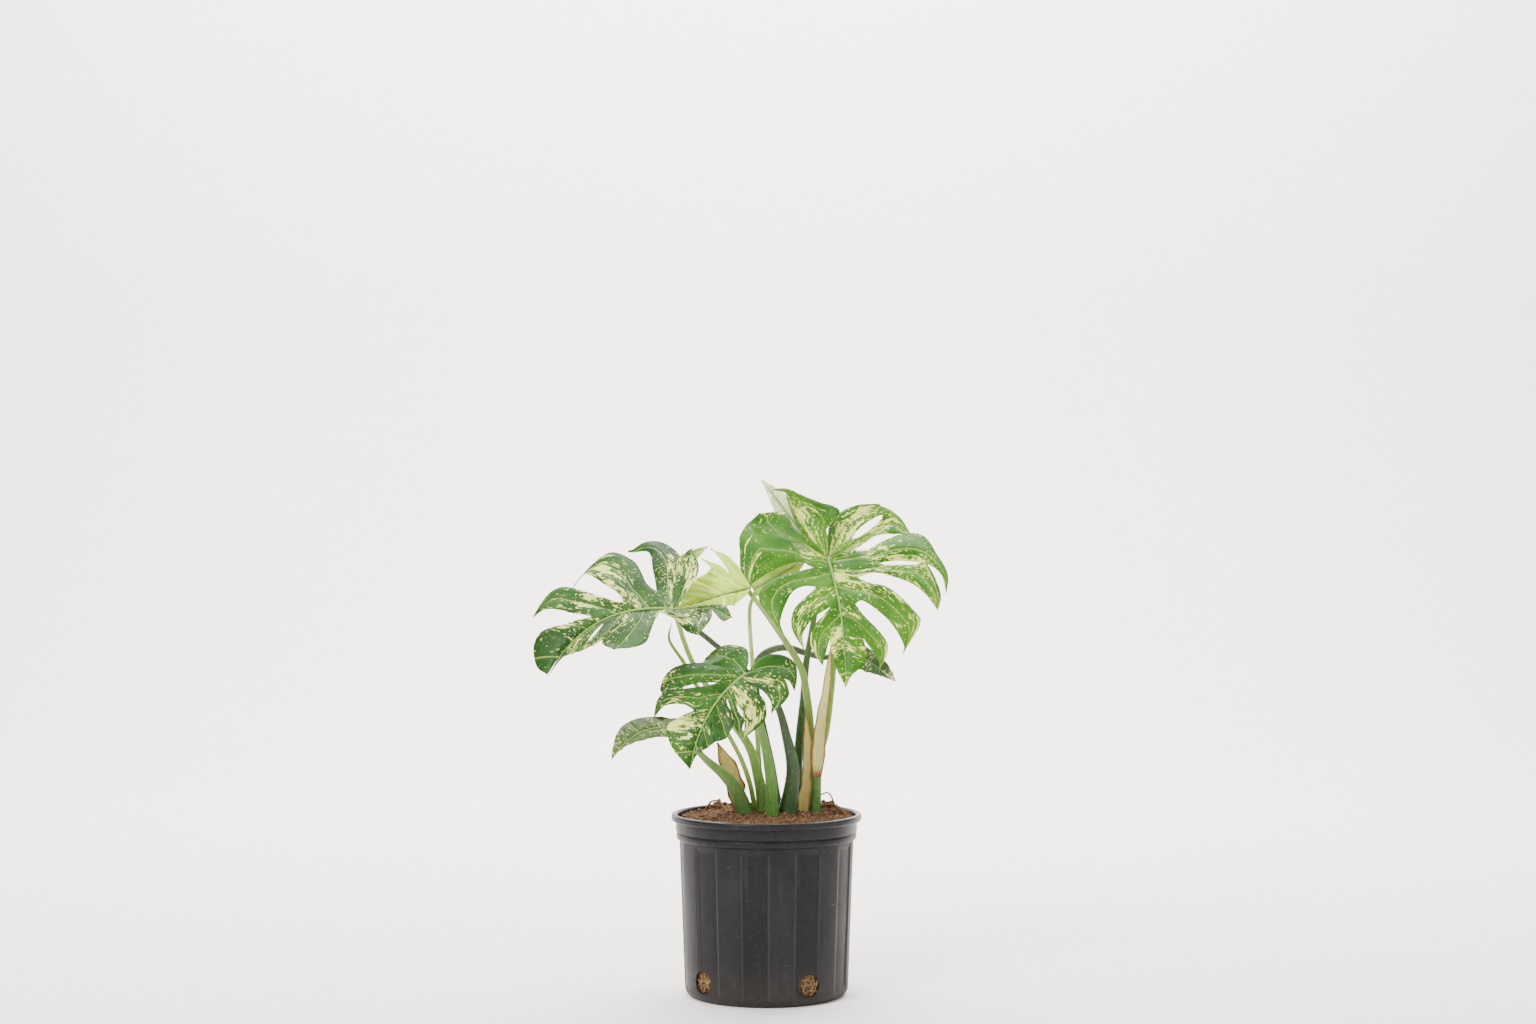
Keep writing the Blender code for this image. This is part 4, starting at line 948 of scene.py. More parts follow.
SHEATHS = (
    ("right", "cream_sheath", (
        (0.0675, -0.001, 0.048, 0.0055, 0.0010), (0.0690, 0.000, 0.070, 0.0085, 0.0015),
        (0.0700, 0.001, 0.091, 0.0090, 0.0020), (0.0750, 0.004, 0.135, 0.0070, 0.0020),
        (0.0800, 0.009, 0.164, 0.0050, 0.0015), (0.0840, 0.012, 0.200, 0.0045, 0.0010),
        (0.0875, 0.013, 0.228, 0.0032, 0.0005))),
    ("old", "tan_sheath", (
        (0.0470, -0.006, -0.010, 0.0080, 0.0020), (0.0490, -0.006, 0.010, 0.0090, 0.0020),
        (0.0540, -0.006, 0.055, 0.0060, 0.0020), (0.0540, -0.005, 0.110, 0.0050, 0.0015),
        (0.0510, -0.003, 0.141, 0.0015, 0.0005))),
    ("young", "pale_stalk", (
        (-0.0170, 0.001, -0.010, 0.0032, 0.0010), (-0.0180, 0.000, 0.020, 0.0032, 0.0010),
        (-0.0290, -0.001, 0.060, 0.0032, 0.0010), (-0.0470, 0.004, 0.097, 0.0030, 0.0010),
        (-0.0740, 0.013, 0.139, 0.0028, 0.0010), (-0.0950, 0.021, 0.170, 0.0028, 0.0010),
        (-0.1120, 0.028, 0.200, 0.0036, 0.0010), (-0.1310, 0.033, 0.229, 0.0045, 0.0010),
        (-0.1280, 0.034, 0.252, 0.0024, 0.0005))),
    ("low_left", "tan_sheath", (
        (-0.0360, -0.004, -0.010, 0.0070, 0.0030), (-0.0380, -0.004, 0.015, 0.0095, 0.0040),
        (-0.0450, -0.003, 0.045, 0.0130, 0.0050), (-0.0560, -0.002, 0.075, 0.0110, 0.0040),
        (-0.0660, -0.002, 0.094, 0.0060, 0.0020))),
)


def build_sheath(name, spine, curl, ragged, seed, material, slot_name):
    """A dry or fresh sheath: a cupped ribbon with curled, uneven edges."""
    bm = bmesh.new()
    along = bm.verts.layers.float.new("along")
    edge = bm.verts.layers.float.new("edge")
    path = smooth_path([(x, y, RIM_HEIGHT + z, half, cup) for x, y, z, half, cup in spine], 0.0025)
    rows = []
    for k, (x, y, z, half, cup) in enumerate(path):
        place = k / (len(path) - 1)
        half *= min(1.0, 0.12 + 3.2 * (1 - place))
        row = []
        for c in range(SHEATH_COLUMNS + 1):
            share = 2 * c / SHEATH_COLUMNS - 1
            torn = 1 + ragged * noise.noise(Vector((z * 70, seed + 3 * (share > 0), 0)))
            across = share * half * (torn if abs(share) > 0.8 else 1.0)
            bend = cup * (1 - share**2) - curl * half * max(0.0, abs(share) - 0.6) ** 2
            wrinkle = 0.0004 * noise.noise(Vector((share * 6, z * 90, seed)))
            vert = bm.verts.new((x + across, y + bend + wrinkle, z))
            vert[along] = place
            vert[edge] = abs(share)
            row.append(vert)
        rows.append(row)
    join_rows(bm, rows)
    item = make_object("husk_" + name, bm, [material])
    thicken(item, SHEATH_THICKNESS)
    return declare(item, slot_name, "sheath_" + name)


# ---------------------------------------------------------------- sizes of the pot

LIP_OVERHANG = 0.006
BEAD_INSET = 0.0007
WALL_INSET = 0.0047
WALL_TAPER = 0.0073
BAND_RADIUS = RIM_RADIUS - LIP_OVERHANG
BEAD_RADIUS = BAND_RADIUS - BEAD_INSET
WALL_TOP_RADIUS = BAND_RADIUS - WALL_INSET
WALL_FOOT_RADIUS = WALL_TOP_RADIUS - WALL_TAPER
FOOT_ROUNDING = 0.012
WALL = 0.0018
FLOOR = 0.0024
LIP_HEIGHT = 0.0084
BAND_HEIGHT = 0.0150
BEAD_HEIGHT = 0.0110
BEAD_GROOVE = 0.0015
BEAD_FOOT = RIM_HEIGHT - LIP_HEIGHT - BAND_HEIGHT - BEAD_HEIGHT
FLUTES = 10
FLUTE_DEPTH = 0.0018
FLUTE_SLOPE = 3.0
FLUTE_PHASE = 1.5
DRAIN_RADIUS = 0.0148
DRAIN_HEIGHT = 0.027
DRAIN_ANGLES = (-50.0, 31.0, 130.0, 211.0)


def wall_radius(height):
    slope = (WALL_TOP_RADIUS - WALL_FOOT_RADIUS) / (BEAD_FOOT - FOOT_ROUNDING)
    return WALL_FOOT_RADIUS + slope * (height - FOOT_ROUNDING)


# ---------------------------------------------------------------- potting mix

SOIL_DROP = 0.0075
SOIL_DOME = 0.0115
CLUMPS = ((-0.066, 0.050, 0.0150, 0.011), (0.083, 0.035, 0.0190, 0.014), (0.030, 0.070, 0.0240, 0.006))
SOIL_RADIUS = BAND_RADIUS - WALL - 0.0006
# (how close the lumps are, how high), finer and finer
LUMPS = ((75, 0.0030), (190, 0.0022), (480, 0.0011))
LUMP_SINK = 0.0012
MIX_LEVELS = (0.0032, 0.0080, 0.0140, 0.0200, 0.0260, 0.0320, 0.0400, 0.0800, 0.1400)
MIX_CLEARANCE = 0.0008
MIX_FOOT_INSET = 0.0080
MIX_DENT = 0.0007
MIX_AROUND = 220
TOP_RINGS = 60
TOP_RING_STEP = 0.016


def soil_top(x, y):
    """World height of the mix."""
    reach = min(1.0, math.hypot(x, y) / BAND_RADIUS)
    height = SOIL_DOME * (1 - reach**2) - SOIL_DROP
    for cx, cy, spread, rise in CLUMPS:
        height += rise * math.exp(-((x - cx) ** 2 + (y - cy) ** 2) / spread**2)
    return RIM_HEIGHT + height


def rough_soil(x, y):
    """World height of the mix with its lumps."""
    spot = Vector((x, y, 0.3))
    height = soil_top(x, y) - LUMP_SINK
    for size, rise in LUMPS:
        height += rise * noise.noise(spot * size)
    return height


def mix_wall(height):
    """Radius of the mix where it lies against the pot."""
    inset = WALL + FLUTE_DEPTH + MIX_CLEARANCE
    if height < FOOT_ROUNDING:
        inset += MIX_FOOT_INSET * (1 - height / FOOT_ROUNDING)
    return wall_radius(height) - inset


def build_mix(material):
    bm = bmesh.new()
    angles = [2 * math.pi * i / MIX_AROUND for i in range(MIX_AROUND)]
    rings = []
    for height in (*MIX_LEVELS, BEAD_FOOT - 0.004):
        ring = []
        for angle in angles:
            x, y, _ = round_axis(28, angle, 0)
            dent = MIX_DENT * (noise.noise(Vector((x, -y, height * 300))) - 1)
            ring.append(bm.verts.new(round_axis(mix_wall(height) + dent, angle, height)))
        rings.append(ring)
    for k in range(TOP_RINGS):
        ring = []
        for angle in angles:
            x, y, _ = round_axis(SOIL_RADIUS * (1.0 - TOP_RING_STEP * k), angle, 0)
            ring.append(bm.verts.new((x, y, rough_soil(x, y))))
        rings.append(ring)
    join_rings(bm, rings)
    bmesh.ops.recalc_face_normals(bm, faces=bm.faces)
    return declare(make_object("coir_mix", bm, [material]), "potting_mix", "potting_mix")


def on_soil(draw, most):
    """A random place on the mix, out to this share of its radius, with its height."""
    angle = draw.uniform(0, 2 * math.pi)
    r = SOIL_RADIUS * most * math.sqrt(draw.random())
    x = r * math.sin(angle)
    y = -r * math.cos(angle)
    return x, y, rough_soil(x, y)


def round_cage(subdivisions):
    """Points and faces of a small round form of radius 1."""
    bm = bmesh.new()
    bmesh.ops.create_icosphere(bm, subdivisions=subdivisions, radius=1.0)
    points = [vert.co.copy() for vert in bm.verts]
    faces = [[vert.index for vert in face.verts] for face in bm.faces]
    bm.free()
    return points, faces


def build_crumbs(name, seed, count, sizes, flat, material):
    """Crumbs or chips: lumpy pebbles of several sizes, some flattened, lying on the mix."""
    draw = random.Random(seed)
    cages = {level: round_cage(level) for level in (1, 2)}
    bm = bmesh.new()
    for _ in range(count):
        x, y, z = on_soil(draw, 0.96)
        size = draw.uniform(*sizes) * draw.uniform(0.6, 1.0)
        points, faces = cages[1 if size < 0.0022 else 2]
        turn = Matrix.Rotation(draw.uniform(0, 6.3), 3, "Z")
        turn @= Matrix.Rotation(draw.uniform(-0.5, 0.5), 3, "X")
        shape = Vector((draw.uniform(0.9, 1.5), draw.uniform(0.6, 1.0), draw.uniform(*flat)))
        shift = Vector((draw.uniform(0, 99), draw.uniform(0, 99), 0))
        verts = []
        for point in points:
            lump = 1 + 0.42 * noise.noise(point * 1.3 + shift)
            spot = Vector(a * b * size * lump for a, b in zip(point, shape))
            verts.append(bm.verts.new(turn @ spot + Vector((x, y, z + size * shape.z * 0.35))))
        for face in faces:
            bm.faces.new([verts[i] for i in face])
    return declare(make_object(name, bm, [material]), "potting_mix")


def build_fibres(name, seed, count, length, radius, rise, material):
    """Loose coir fibres and dry bits that lie over the crumbs."""
    draw = random.Random(seed)
    bm = bmesh.new()
    for _ in range(count):
        x, y, _ = on_soil(draw, 0.88)
        heading = draw.uniform(0, 6.3)
        bend = draw.uniform(-1.4, 1.4)
        reach = draw.uniform(*length)
        lift = draw.uniform(0.0005, rise)
        thick = draw.uniform(*radius)
        path = []
        steps = 7
        for k in range(steps + 1):
            share = k / steps
            turn = heading + bend * share
            px = x + math.cos(turn) * reach * (share - 0.5)
            py = y + math.sin(turn) * reach * (share - 0.5)
            if math.hypot(px, py) > SOIL_RADIUS * 0.97:
                break
            height = rough_soil(px, py) + thick * 0.6 + lift * math.sin(math.pi * share)
            path.append((px, py, height, thick * (1 - 0.5 * abs(2 * share - 1))))
        if len(path) > 4:
            add_tube(bm, path, 5)
    return declare(make_object(name, bm, [material]), "potting_mix")


# Surface roots and bark strips: x, y and height above the mix, from end to end, then thickness
ROOTS = (
    ((0.070, 0.010, 0.001), (0.078, 0.000, 0.011), (0.091, -0.002, 0.012), (0.100, 0.004, -0.002), 0.0014),
    ((0.060, 0.024, -0.002), (0.070, 0.030, 0.010), (0.084, 0.030, 0.012), (0.094, 0.026, -0.002), 0.0011),
    ((0.080, 0.020, 0.002), (0.092, 0.010, 0.009), (0.103, 0.006, 0.003), (0.107, 0.004, -0.003), 0.0016),
    ((-0.052, 0.006, -0.002), (-0.062, 0.030, 0.008), (-0.074, 0.040, 0.007), (-0.086, 0.034, -0.002),
     0.0012),
    ((0.040, 0.050, -0.002), (0.036, 0.066, 0.008), (0.022, 0.080, 0.004), (0.006, 0.088, -0.004), 0.0014),
    ((-0.030, 0.052, -0.002), (-0.044, 0.064, 0.006), (-0.054, 0.070, 0.003), (-0.066, 0.066, -0.004),
     0.0011),
)


def build_roots(material):
    bm = bmesh.new()
    for number, (*points, radius) in enumerate(ROOTS):
        knots = [(x, y, soil_top(x, y) + lift, radius) for x, y, lift in points]

        def knobbly(share, angle):
            return 1 + 0.22 * noise.noise(Vector((share * 9 + number * 7, math.sin(angle), 0)))

        add_tube(bm, smooth_path(knots, 0.0015), 10, knobbly)
    return declare(make_object("surface_roots", bm, [material]), "potting_mix")


def drain_spot(degrees, inset, up, aside):
    """A point on the wall at a drain hole, moved inwards, up or sideways."""
    angle = math.radians(degrees)
    out = Vector(round_axis(WALL_FOOT_RADIUS + 0.0010 - inset, angle, 0))
    across = Vector((math.cos(angle), math.sin(angle), 0))
    return out + across * aside + Vector((0, 0, DRAIN_HEIGHT + up))


def build_drain_roots(material):
    """Pale root ends that show in the drain holes."""
    draw = random.Random(61)
    bm = bmesh.new()
    for degrees in DRAIN_ANGLES:
        for _ in range(10):
            radius = draw.uniform(0.00025, 0.00062)
            tilt = draw.uniform(0, math.pi)
            shift = draw.uniform(-0.011, 0.011)
            knots = []
            for k in range(5):
                reach = (k / 4 - 0.5) * 0.025
                aside = reach * math.cos(tilt) - shift * math.sin(tilt) + draw.uniform(-0.0030, 0.0030)
                up = reach * math.sin(tilt) + shift * math.cos(tilt) + draw.uniform(-0.0030, 0.0030)
                inset = 0.0046 + draw.uniform(-0.0012, 0.0010)
                knots.append((*drain_spot(degrees, inset, up, aside), radius))
            add_tube(bm, smooth_path(knots, 0.002), 7)
    return declare(make_object("drain_roots", bm, [material]), "potting_mix")


# ---------------------------------------------------------------- pot

AROUND = 400


def plastic_skin(name):
    """Charcoal moulded plastic: fine orange peel, dust, pale speckles, rubbed streaks and pale scratch lines,
    with painted shade in the flute grooves and a painted highlight along each flute edge.
    """
    r = Recipe(name)
    spot = r.place()
    broad = r.cloud(spot, 13.0, 4.0, 0.6)
    colour = r.blend(r.fade(broad, 0.35, 0.7), (0.0075, 0.0077, 0.0094), (0.0135, 0.0139, 0.0165))
    east, north, height = r.parts(spot)
    turn = r.calc("ARCTAN2", east, r.calc("MULTIPLY", north, -1.0))
    turn = r.calc("SUBTRACT", turn, math.radians(FLUTE_PHASE))
    wave = r.calc("SINE", r.calc("MULTIPLY", turn, float(FLUTES)))
    below_bead = r.fade(height, BEAD_FOOT - 0.004, BEAD_FOOT - 0.010)
    wall = r.calc("MULTIPLY", below_bead, r.fade(height, 0.006, 0.018))
    # painted shade: the recessed flute panels on the wall are darkened
    groove = r.calc("MULTIPLY", r.fade(wave, 0.10, -0.10), wall)
    colour = r.part_of(0.55, groove, colour, (0.0045, 0.0046, 0.0056))
    # painted highlight: a paler line along each flute edge on the wall
    flute_edge_highlight = r.calc("MULTIPLY", r.fade(r.calc("ABSOLUTE", wave), 0.05, 0.16, 1.0, 0.0), wall)
    colour = r.part_of(0.30, flute_edge_highlight, colour, (0.042, 0.042, 0.045))
    rubs = r.cloud(r.stretch(spot, (95, 95, 7)), 1.0, 5.0, 0.7, 0.3)
    colour = r.stain(colour, rubs, 0.52, 0.80, 0.30, (0.050, 0.049, 0.048))
    scratch = r.cloud(r.stretch(spot, (30, 44, 520), (3, 1, 0)), 1.0, 2.0, 0.5, 0.9)
    colour = r.stain(colour, scratch, 0.72, 0.75, 0.22, (0.16, 0.16, 0.165))
    grit = r.cells(spot, 620.0)
    seen = r.fade(r.cloud(spot, 60.0, 2.0), 0.40, 0.62)
    dots = r.calc("MULTIPLY", r.fade(grit, 0.08, 0.13, 1.0, 0.0), seen)
    colour = r.part_of(0.40, dots, colour, (0.30, 0.29, 0.27))
    dusty = r.calc("MULTIPLY", r.fade(height, 0.070, 0.0, 0.0, 0.20), r.cloud(spot, 85.0, 4.0, 0.7))
    colour = r.blend(dusty, colour, (0.15, 0.12, 0.095))
    peel = r.cloud(spot, 520.0, 2.0)
    rubbed = r.calc("MULTIPLY", r.fade(rubs, 0.5, 0.8), 0.16)
    rough = r.calc("ADD", r.fade(broad, 0.3, 0.7, 0.42, 0.54), rubbed)
    rough = r.calc("ADD", rough, r.fade(height, BEAD_FOOT - 0.002, BEAD_FOOT + 0.001, 0.0, -0.14))
    normal = r.bump(peel, 0.00006)
    normal = r.bump(r.calc("SUBTRACT", r.calc("MULTIPLY", dots, 0.4), scratch), 0.00012, normal)
    return r.finish(colour, rough, normal, Specular_IOR_Level=0.15)


def flute_depth(angle):
    """How deep the groove is at this angle: flat ribs and flat grooves with rounded slopes between them."""
    panel = 180.0 / FLUTES
    turn = (math.degrees(angle) - FLUTE_PHASE) % (2 * panel)
    slope = FLUTE_SLOPE

    def step(x):
        x = max(0.0, min(1.0, x))
        return x * x * (3 - 2 * x)

    rise = step((turn - panel + slope / 2) / slope)
    fall = step((turn - 2 * panel + slope / 2) / slope) + step((slope / 2 - turn) / slope)
    return FLUTE_DEPTH * max(0.0, rise - fall)


def arc(radius, height, size, start, end, steps):
    """Points (radius, height, groove) on an arc in the pot's profile, with angles from straight out."""
    found = []
    for k in range(steps + 1):
        turn = math.radians(start + (end - start) * k / steps)
        found.append((radius + size * math.cos(turn), height + size * math.sin(turn), 0.0))
    return found


def pot_outside():
    lip = RIM_HEIGHT - LIP_HEIGHT
    band = lip - BAND_HEIGHT
    points = [(0.0001, 0.0, 0.0), (0.060, 0.0, 0.0)]
    points += arc(WALL_FOOT_RADIUS - FOOT_ROUNDING, FOOT_ROUNDING, FOOT_ROUNDING, -90, 0, 10)
    low = FOOT_ROUNDING + 0.0015
    high = BEAD_FOOT - 0.0022
    steps = 44
    for k in range(1, steps + 1):
        height = low + (high - low) * k / steps
        fade = min(1.0, (height - low) / 0.006) * min(1.0, (high - height) / 0.0055)
        points.append((wall_radius(height), height, math.sin(fade * math.pi / 2)))
    points.append((WALL_TOP_RADIUS, BEAD_FOOT - 0.0004, 0.0))
    points += arc(BEAD_RADIUS - 0.0018, BEAD_FOOT + 0.0032, 0.0018, -70, 0, 4)
    points += arc(BEAD_RADIUS - 0.0016, band - 0.0030, 0.0016, 0, 80, 4)
    points.append((BAND_RADIUS - BEAD_GROOVE - 0.0006, band - 0.0006, 0.0))
    points += arc(BAND_RADIUS - 0.0014, band + 0.0016, 0.0014, -60, 0, 3)
    points.append((BAND_RADIUS, lip - 0.0016, 0.0))
    points += arc(RIM_RADIUS - 0.0024, lip + 0.0018, 0.0024, -95, 0, 6)
    points += arc(RIM_RADIUS - 0.0030, RIM_HEIGHT - 0.0030, 0.0030, 0, 90, 7)
    return points


def pot_inside():
    points = arc(BAND_RADIUS + 0.0014, RIM_HEIGHT - 0.0032, 0.0032, 90, 178, 6)
    points.append((BAND_RADIUS - WALL, RIM_HEIGHT - LIP_HEIGHT - BAND_HEIGHT, 0.0))
    points.append((WALL_TOP_RADIUS - WALL, BEAD_FOOT - 0.0012, 0.0))
    low = FOOT_ROUNDING + 0.0015
    for k in range(12, -1, -1):
        height = low + (BEAD_FOOT - 0.004 - low) * k / 12
        points.append((wall_radius(height) - WALL, height, 0.0 if k in (0, 12) else 1.0))
    points += arc(WALL_FOOT_RADIUS - FOOT_ROUNDING, FLOOR + 0.0095, 0.0095, -10, -90, 5)
    points.append((0.0001, FLOOR, 0.0))
    return points


def build_pot(material):
    bm = bmesh.new()
    rings = []
    for radius, height, groove in pot_outside() + pot_inside():
        ring = []
        for i in range(AROUND):
            angle = 2 * math.pi * i / AROUND
            ring.append(bm.verts.new(round_axis(radius - groove * flute_depth(angle), angle, height)))
        rings.append(ring)
    join_rings(bm, rings)
    bmesh.ops.recalc_face_normals(bm, faces=bm.faces)
    whole = make_object("whole_pot", bm, [material])
    cutters = []
    for degrees in DRAIN_ANGLES:
        angle = math.radians(degrees)
        bpy.ops.mesh.primitive_cylinder_add(
            vertices=64, radius=DRAIN_RADIUS, depth=0.03, rotation=(math.pi / 2, 0, angle),
            location=round_axis(WALL_FOOT_RADIUS, angle, DRAIN_HEIGHT),
        )
        cutter = bpy.context.object
        cutters.append(cutter)
        hole = whole.modifiers.new("hole", "BOOLEAN")
        hole.operation = "DIFFERENCE"
        hole.solver = "EXACT"
        hole.object = cutter
    bpy.context.view_layer.update()
    graph = bpy.context.evaluated_depsgraph_get()
    mesh = bpy.data.meshes.new_from_object(whole.evaluated_get(graph))
    for face in mesh.polygons:
        face.use_smooth = True
    mesh.set_sharp_from_angle(angle=math.radians(32))
    pot = bpy.data.objects.new("fluted_pot", mesh)
    bpy.context.scene.collection.objects.link(pot)
    for item in (whole, *cutters):
        bpy.data.objects.remove(item, do_unlink=True)
    return declare(pot, "black_plastic", "nursery_pot")


# Torn plastic at the edges of the drain holes: hole, start and end round it in degrees, thickness
BURRS = ((31, 150, 330, 0.0011), (31, 20, 70, 0.0007), (-50, 190, 260, 0.0007))
BURR_STEPS = 40


def build_burrs(material):
    bm = bmesh.new()
    for degrees, start, end, size in BURRS:
        path = []
        for k in range(BURR_STEPS + 1):
            turn = math.radians(start + (end - start) * k / BURR_STEPS)
            reach = DRAIN_RADIUS - 0.0002 + 0.0011 * noise.noise(Vector((k * 0.55, degrees, start)))
            spot = drain_spot(degrees, -0.0004, reach * math.sin(turn), reach * math.cos(turn))
            taper = math.sin(math.pi * k / BURR_STEPS) ** 0.5
            uneven = 0.7 + 0.5 * noise.noise(Vector((k * 0.9, start, 0)))
            path.append((*spot, max(0.0002, size * taper * uneven)))
        add_tube(bm, path, 6)
    return declare(make_object("drain_burrs", bm, [material]), "black_plastic")


# ---------------------------------------------------------------- room


def room_skin():
    r = Recipe("warm_white_paper")
    tone = r.cloud(r.place(), 1.2, 2.0)
    return r.finish(r.blend(tone, (0.90, 0.875, 0.855), (0.93, 0.905, 0.885)), 0.8, Specular_IOR_Level=0.2)


def build_room():
    """A pale floor that curves up into the backdrop."""
    bm = bmesh.new()
    bend = 1.2
    back = 3.6
    profile = [(-6.0, 0.0)]
    for k in range(17):
        turn = math.pi / 2 * k / 16
        profile.append((back - bend + bend * math.sin(turn), bend * (1 - math.cos(turn))))
    profile.append((back, 7.0))
    rows = [[bm.verts.new((x, y, z)) for x in (-7.0, 7.0)] for y, z in profile]
    join_rows(bm, rows)
    make_object("floor", bm, [room_skin()])


# Name, place, what it points at, width and height, power, colour
LIGHTS = (
    ("key", (-1.7, -2.3, 2.6), (0, 0, 0.4), (1.4, 1.4), 165, (1.0, 0.975, 0.94)),
    ("fill", (2.6, -2.4, 1.4), (0, 0, 0.35), (2.4, 2.4), 30, (0.96, 0.98, 1.0)),
    ("top", (0.2, 0.5, 3.2), (0, 0, 0.4), (2.0, 2.0), 60, (1.0, 0.99, 0.97)),
    ("backdrop_wash", (0.0, 1.5, 3.6), (0.0, 3.6, 0.7), (5.0, 1.0), 560, (1.0, 0.97, 0.94)),
)
CAMERA_PLACE = (0.002, -3.42, 0.6433)


def link(name, data, location):
    item = bpy.data.objects.new(name, data)
    bpy.context.scene.collection.objects.link(item)
    item.location = location
    return item


def build_lights():
    for name, location, target, size, power, colour in LIGHTS:
        data = bpy.data.lights.new(name, "AREA")
        data.shape = "RECTANGLE"
        data.size, data.size_y = size
        data.energy = power
        data.color = colour
        light = link(name, data, location)
        light.rotation_euler = (Vector(target) - Vector(location)).to_track_quat("-Z", "Y").to_euler()
    world = bpy.data.worlds.new("soft_studio")
    world.use_nodes = True
    sky = world.node_tree.nodes["Background"]
    sky.inputs["Color"].default_value = (1.0, 0.98, 0.955, 1)
    sky.inputs["Strength"].default_value = 0.88
    bpy.context.scene.world = world


def build_camera():
    data = bpy.data.cameras.new("camera")
    data.lens = 60
    data.sensor_width = 36
    camera = link("camera", data, CAMERA_PLACE)
    camera.rotation_euler = (math.pi / 2, 0, 0)
    bpy.context.scene.camera = camera


# ---------------------------------------------------------------- the whole plant

LEAF_SKINS = {
    # front dark, front light, cream amount, seed, cream colour, roughness
    "right": ((0.022, 0.105, 0.004), (0.058, 0.185, 0.008), 0.032, 3.0, (0.64, 0.72, 0.145), 0.40),
    "left": ((0.008, 0.044, 0.003), (0.021, 0.090, 0.007), 0.010, 11.0, (0.62, 0.69, 0.160), 0.40),
    "centre": ((0.010, 0.050, 0.004), (0.026, 0.104, 0.008), 0.012, 23.0, (0.63, 0.70, 0.160), 0.38),
    "lime": ((0.370, 0.560, 0.018), (0.490, 0.670, 0.040), -0.06, 31.0, (0.76, 0.82, 0.26), 0.46),
    "low_left": ((0.030, 0.072, 0.011), (0.066, 0.120, 0.022), 0.03, 41.0, (0.44, 0.46, 0.15), 0.44),
    "top_back": ((0.420, 0.560, 0.200), (0.620, 0.720, 0.340), 0.10, 47.0, (0.80, 0.82, 0.50), 0.48),
    "back_right": ((0.028, 0.070, 0.016), (0.058, 0.110, 0.030), 0.00, 53.0, (0.42, 0.48, 0.18), 0.44),
    "young_left": ((0.320, 0.480, 0.070), (0.480, 0.620, 0.150), -0.04, 59.0, (0.72, 0.78, 0.30), 0.48),
    "lime_band": ((0.320, 0.490, 0.050), (0.440, 0.590, 0.090), -0.04, 67.0, (0.72, 0.78, 0.28), 0.46),
}
STALK_SKINS = {
    # foot, middle, top, flecks, seed
    "left": ((0.016, 0.052, 0.010), (0.034, 0.062, 0.022), (0.060, 0.085, 0.036), 0.25, 2.0),
    "centre": ((0.034, 0.120, 0.012), (0.085, 0.200, 0.026), (0.180, 0.320, 0.055), 0.35, 5.0),
    "right": ((0.030, 0.100, 0.012), (0.140, 0.260, 0.040), (0.230, 0.380, 0.065), 0.3, 8.0),
    "lime": ((0.040, 0.100, 0.014), (0.140, 0.230, 0.040), (0.260, 0.380, 0.080), 0.25, 13.0),
    "lime_band": ((0.120, 0.210, 0.040), (0.330, 0.460, 0.110), (0.440, 0.560, 0.150), 0.2, 17.0),
    "top_back": ((0.016, 0.058, 0.010), (0.034, 0.082, 0.018), (0.120, 0.200, 0.050), 0.25, 19.0),
    "back_right": ((0.014, 0.045, 0.010), (0.034, 0.060, 0.024), (0.080, 0.100, 0.050), 0.2, 29.0),
    "young_left": ((0.060, 0.150, 0.016), (0.210, 0.340, 0.060), (0.340, 0.470, 0.120), 0.3, 37.0),
    "low_left": ((0.026, 0.092, 0.010), (0.080, 0.160, 0.026), (0.170, 0.260, 0.055), 0.35, 43.0),
}


def build_leaves():
    rib_material = rib_skin("rib_skin", (0.22, 0.36, 0.08))
    for name, blade, left, right, slot_name in BLADES:
        dark, light, cream, seed, pale, roughness = LEAF_SKINS[name]
        front = blade_face("face_" + name, dark, light, cream, seed, pale, roughness)
        back_dark = mixed(dark, (0.070, 0.092, 0.050), 0.38)
        back_light = mixed(light, (0.14, 0.18, 0.085), 0.45)
        back = blade_back("back_" + name, back_dark, back_light, cream, seed)
        build_blade(name, blade, left, right, front, back, rib_material, slot_name)


def build_stalks():
    for name, blade, radius, knee, slot_name, points in STALKS:
        foot, middle, top, flecks, seed = STALK_SKINS[name]
        material = stalk_skin("skin_" + name, foot, middle, top, flecks, seed)
        build_stalk(name, blade, radius, knee, points, material, slot_name)


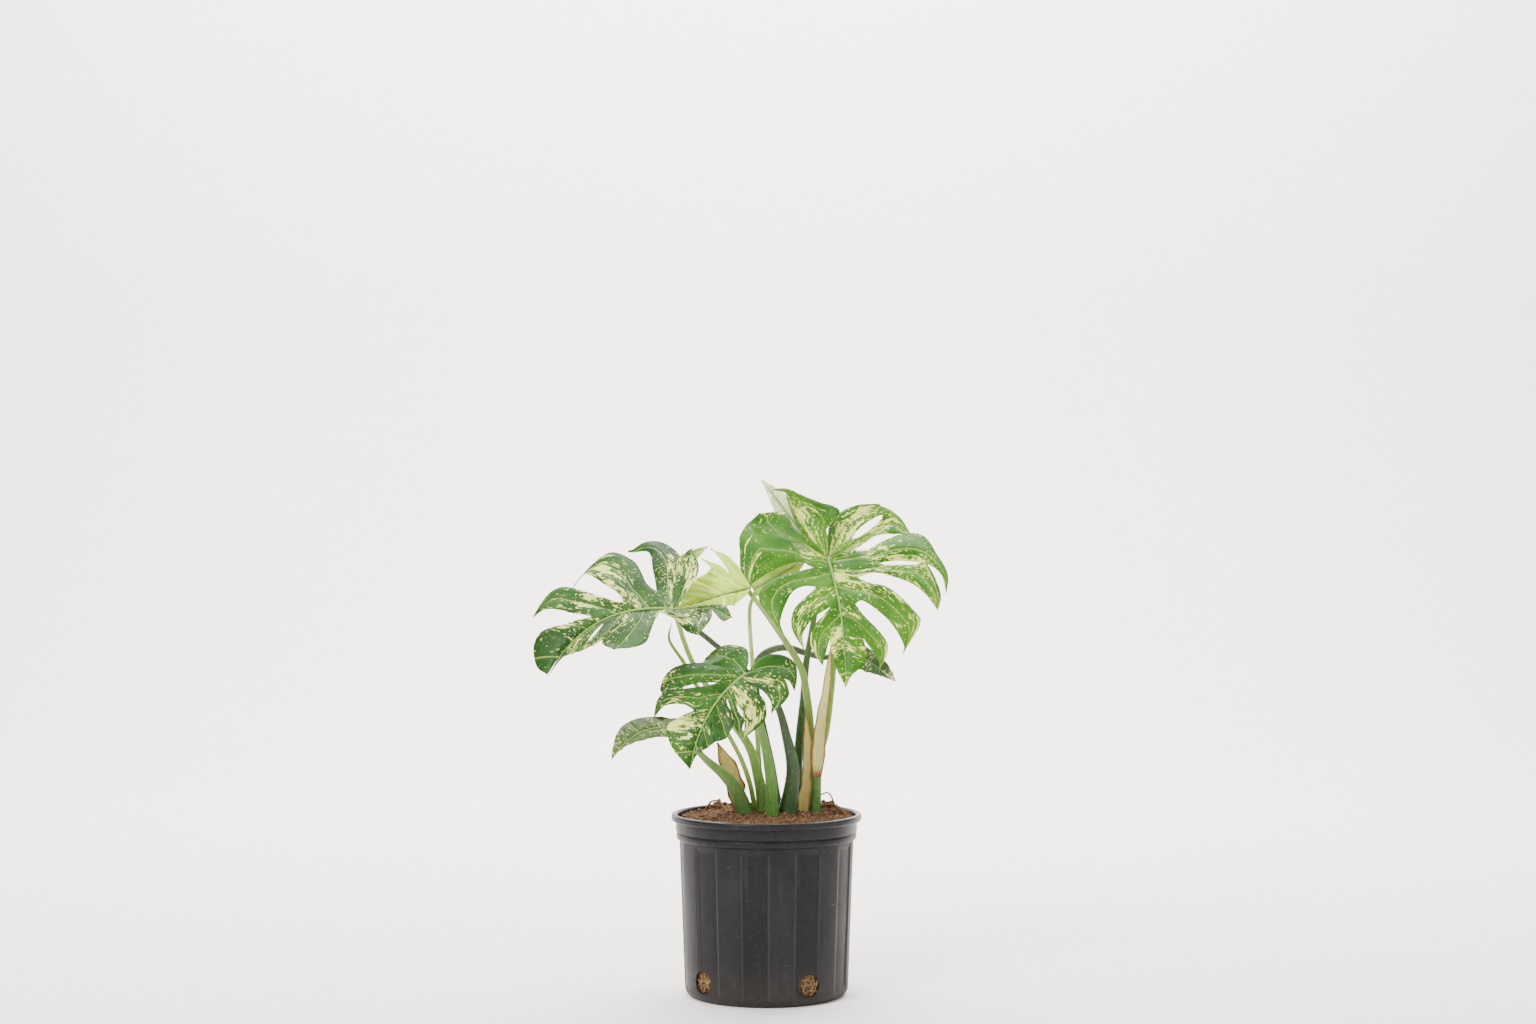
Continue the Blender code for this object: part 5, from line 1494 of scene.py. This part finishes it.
def build_sheaths():
    cream = sheath_skin("cream_husk", (0.70, 0.66, 0.24), (0.52, 0.50, 0.13), (0.26, 0.12, 0.030), 1.0)
    tan = sheath_skin("tan_husk", (0.60, 0.50, 0.15), (0.40, 0.31, 0.080), (0.20, 0.095, 0.026), 2.0)
    pale = sheath_skin(
        "pale_husk", (0.30, 0.44, 0.085), (0.42, 0.54, 0.15), (0.24, 0.34, 0.07), 3.0, (0.30, 0.36, 0.10)
    )
    skins = {"right": cream, "old": tan, "young": pale, "low_left": tan}
    for number, (name, slot_name, spine) in enumerate(SHEATHS):
        ragged = {"right": 0.12, "old": 0.35, "young": 0.08, "low_left": 0.35}[name]
        build_sheath(name, spine, 0.5, ragged, number * 5.0, skins[name], slot_name)


def build_ground():
    build_mix(mix_skin("coir", (0.060, 0.028, 0.013), (0.210, 0.105, 0.048), (0.40, 0.240, 0.115)))
    brown = mix_skin("crumb", (0.085, 0.040, 0.018), (0.270, 0.140, 0.064), (0.46, 0.29, 0.145))
    dark = wood_skin("bark", (0.030, 0.018, 0.012), (0.14, 0.080, 0.045))
    straw = wood_skin("fibre", (0.22, 0.125, 0.055), (0.48, 0.31, 0.155))
    build_crumbs("crumbs", 5, 1900, (0.0012, 0.0034), (0.6, 1.0), brown)
    build_crumbs("bark_bits", 6, 150, (0.0016, 0.0052), (0.25, 0.5), dark)
    build_crumbs("pale_bits", 7, 90, (0.0010, 0.0022), (0.3, 0.6), straw)
    build_fibres("coir_fibres", 8, 420, (0.004, 0.015), (0.00010, 0.00022), 0.0022, straw)
    build_fibres("dark_fibres", 9, 140, (0.006, 0.018), (0.00016, 0.00036), 0.0024, dark)
    build_roots(wood_skin("root", (0.050, 0.026, 0.013), (0.19, 0.115, 0.060)))
    build_drain_roots(wood_skin("pale_root", (0.080, 0.042, 0.018), (0.46, 0.31, 0.150)))


build_ground()
plastic = plastic_skin("charcoal_plastic")
build_pot(plastic)
build_burrs(plastic)
build_stalks()
build_sheaths()
build_leaves()
build_room()
build_lights()
build_camera()
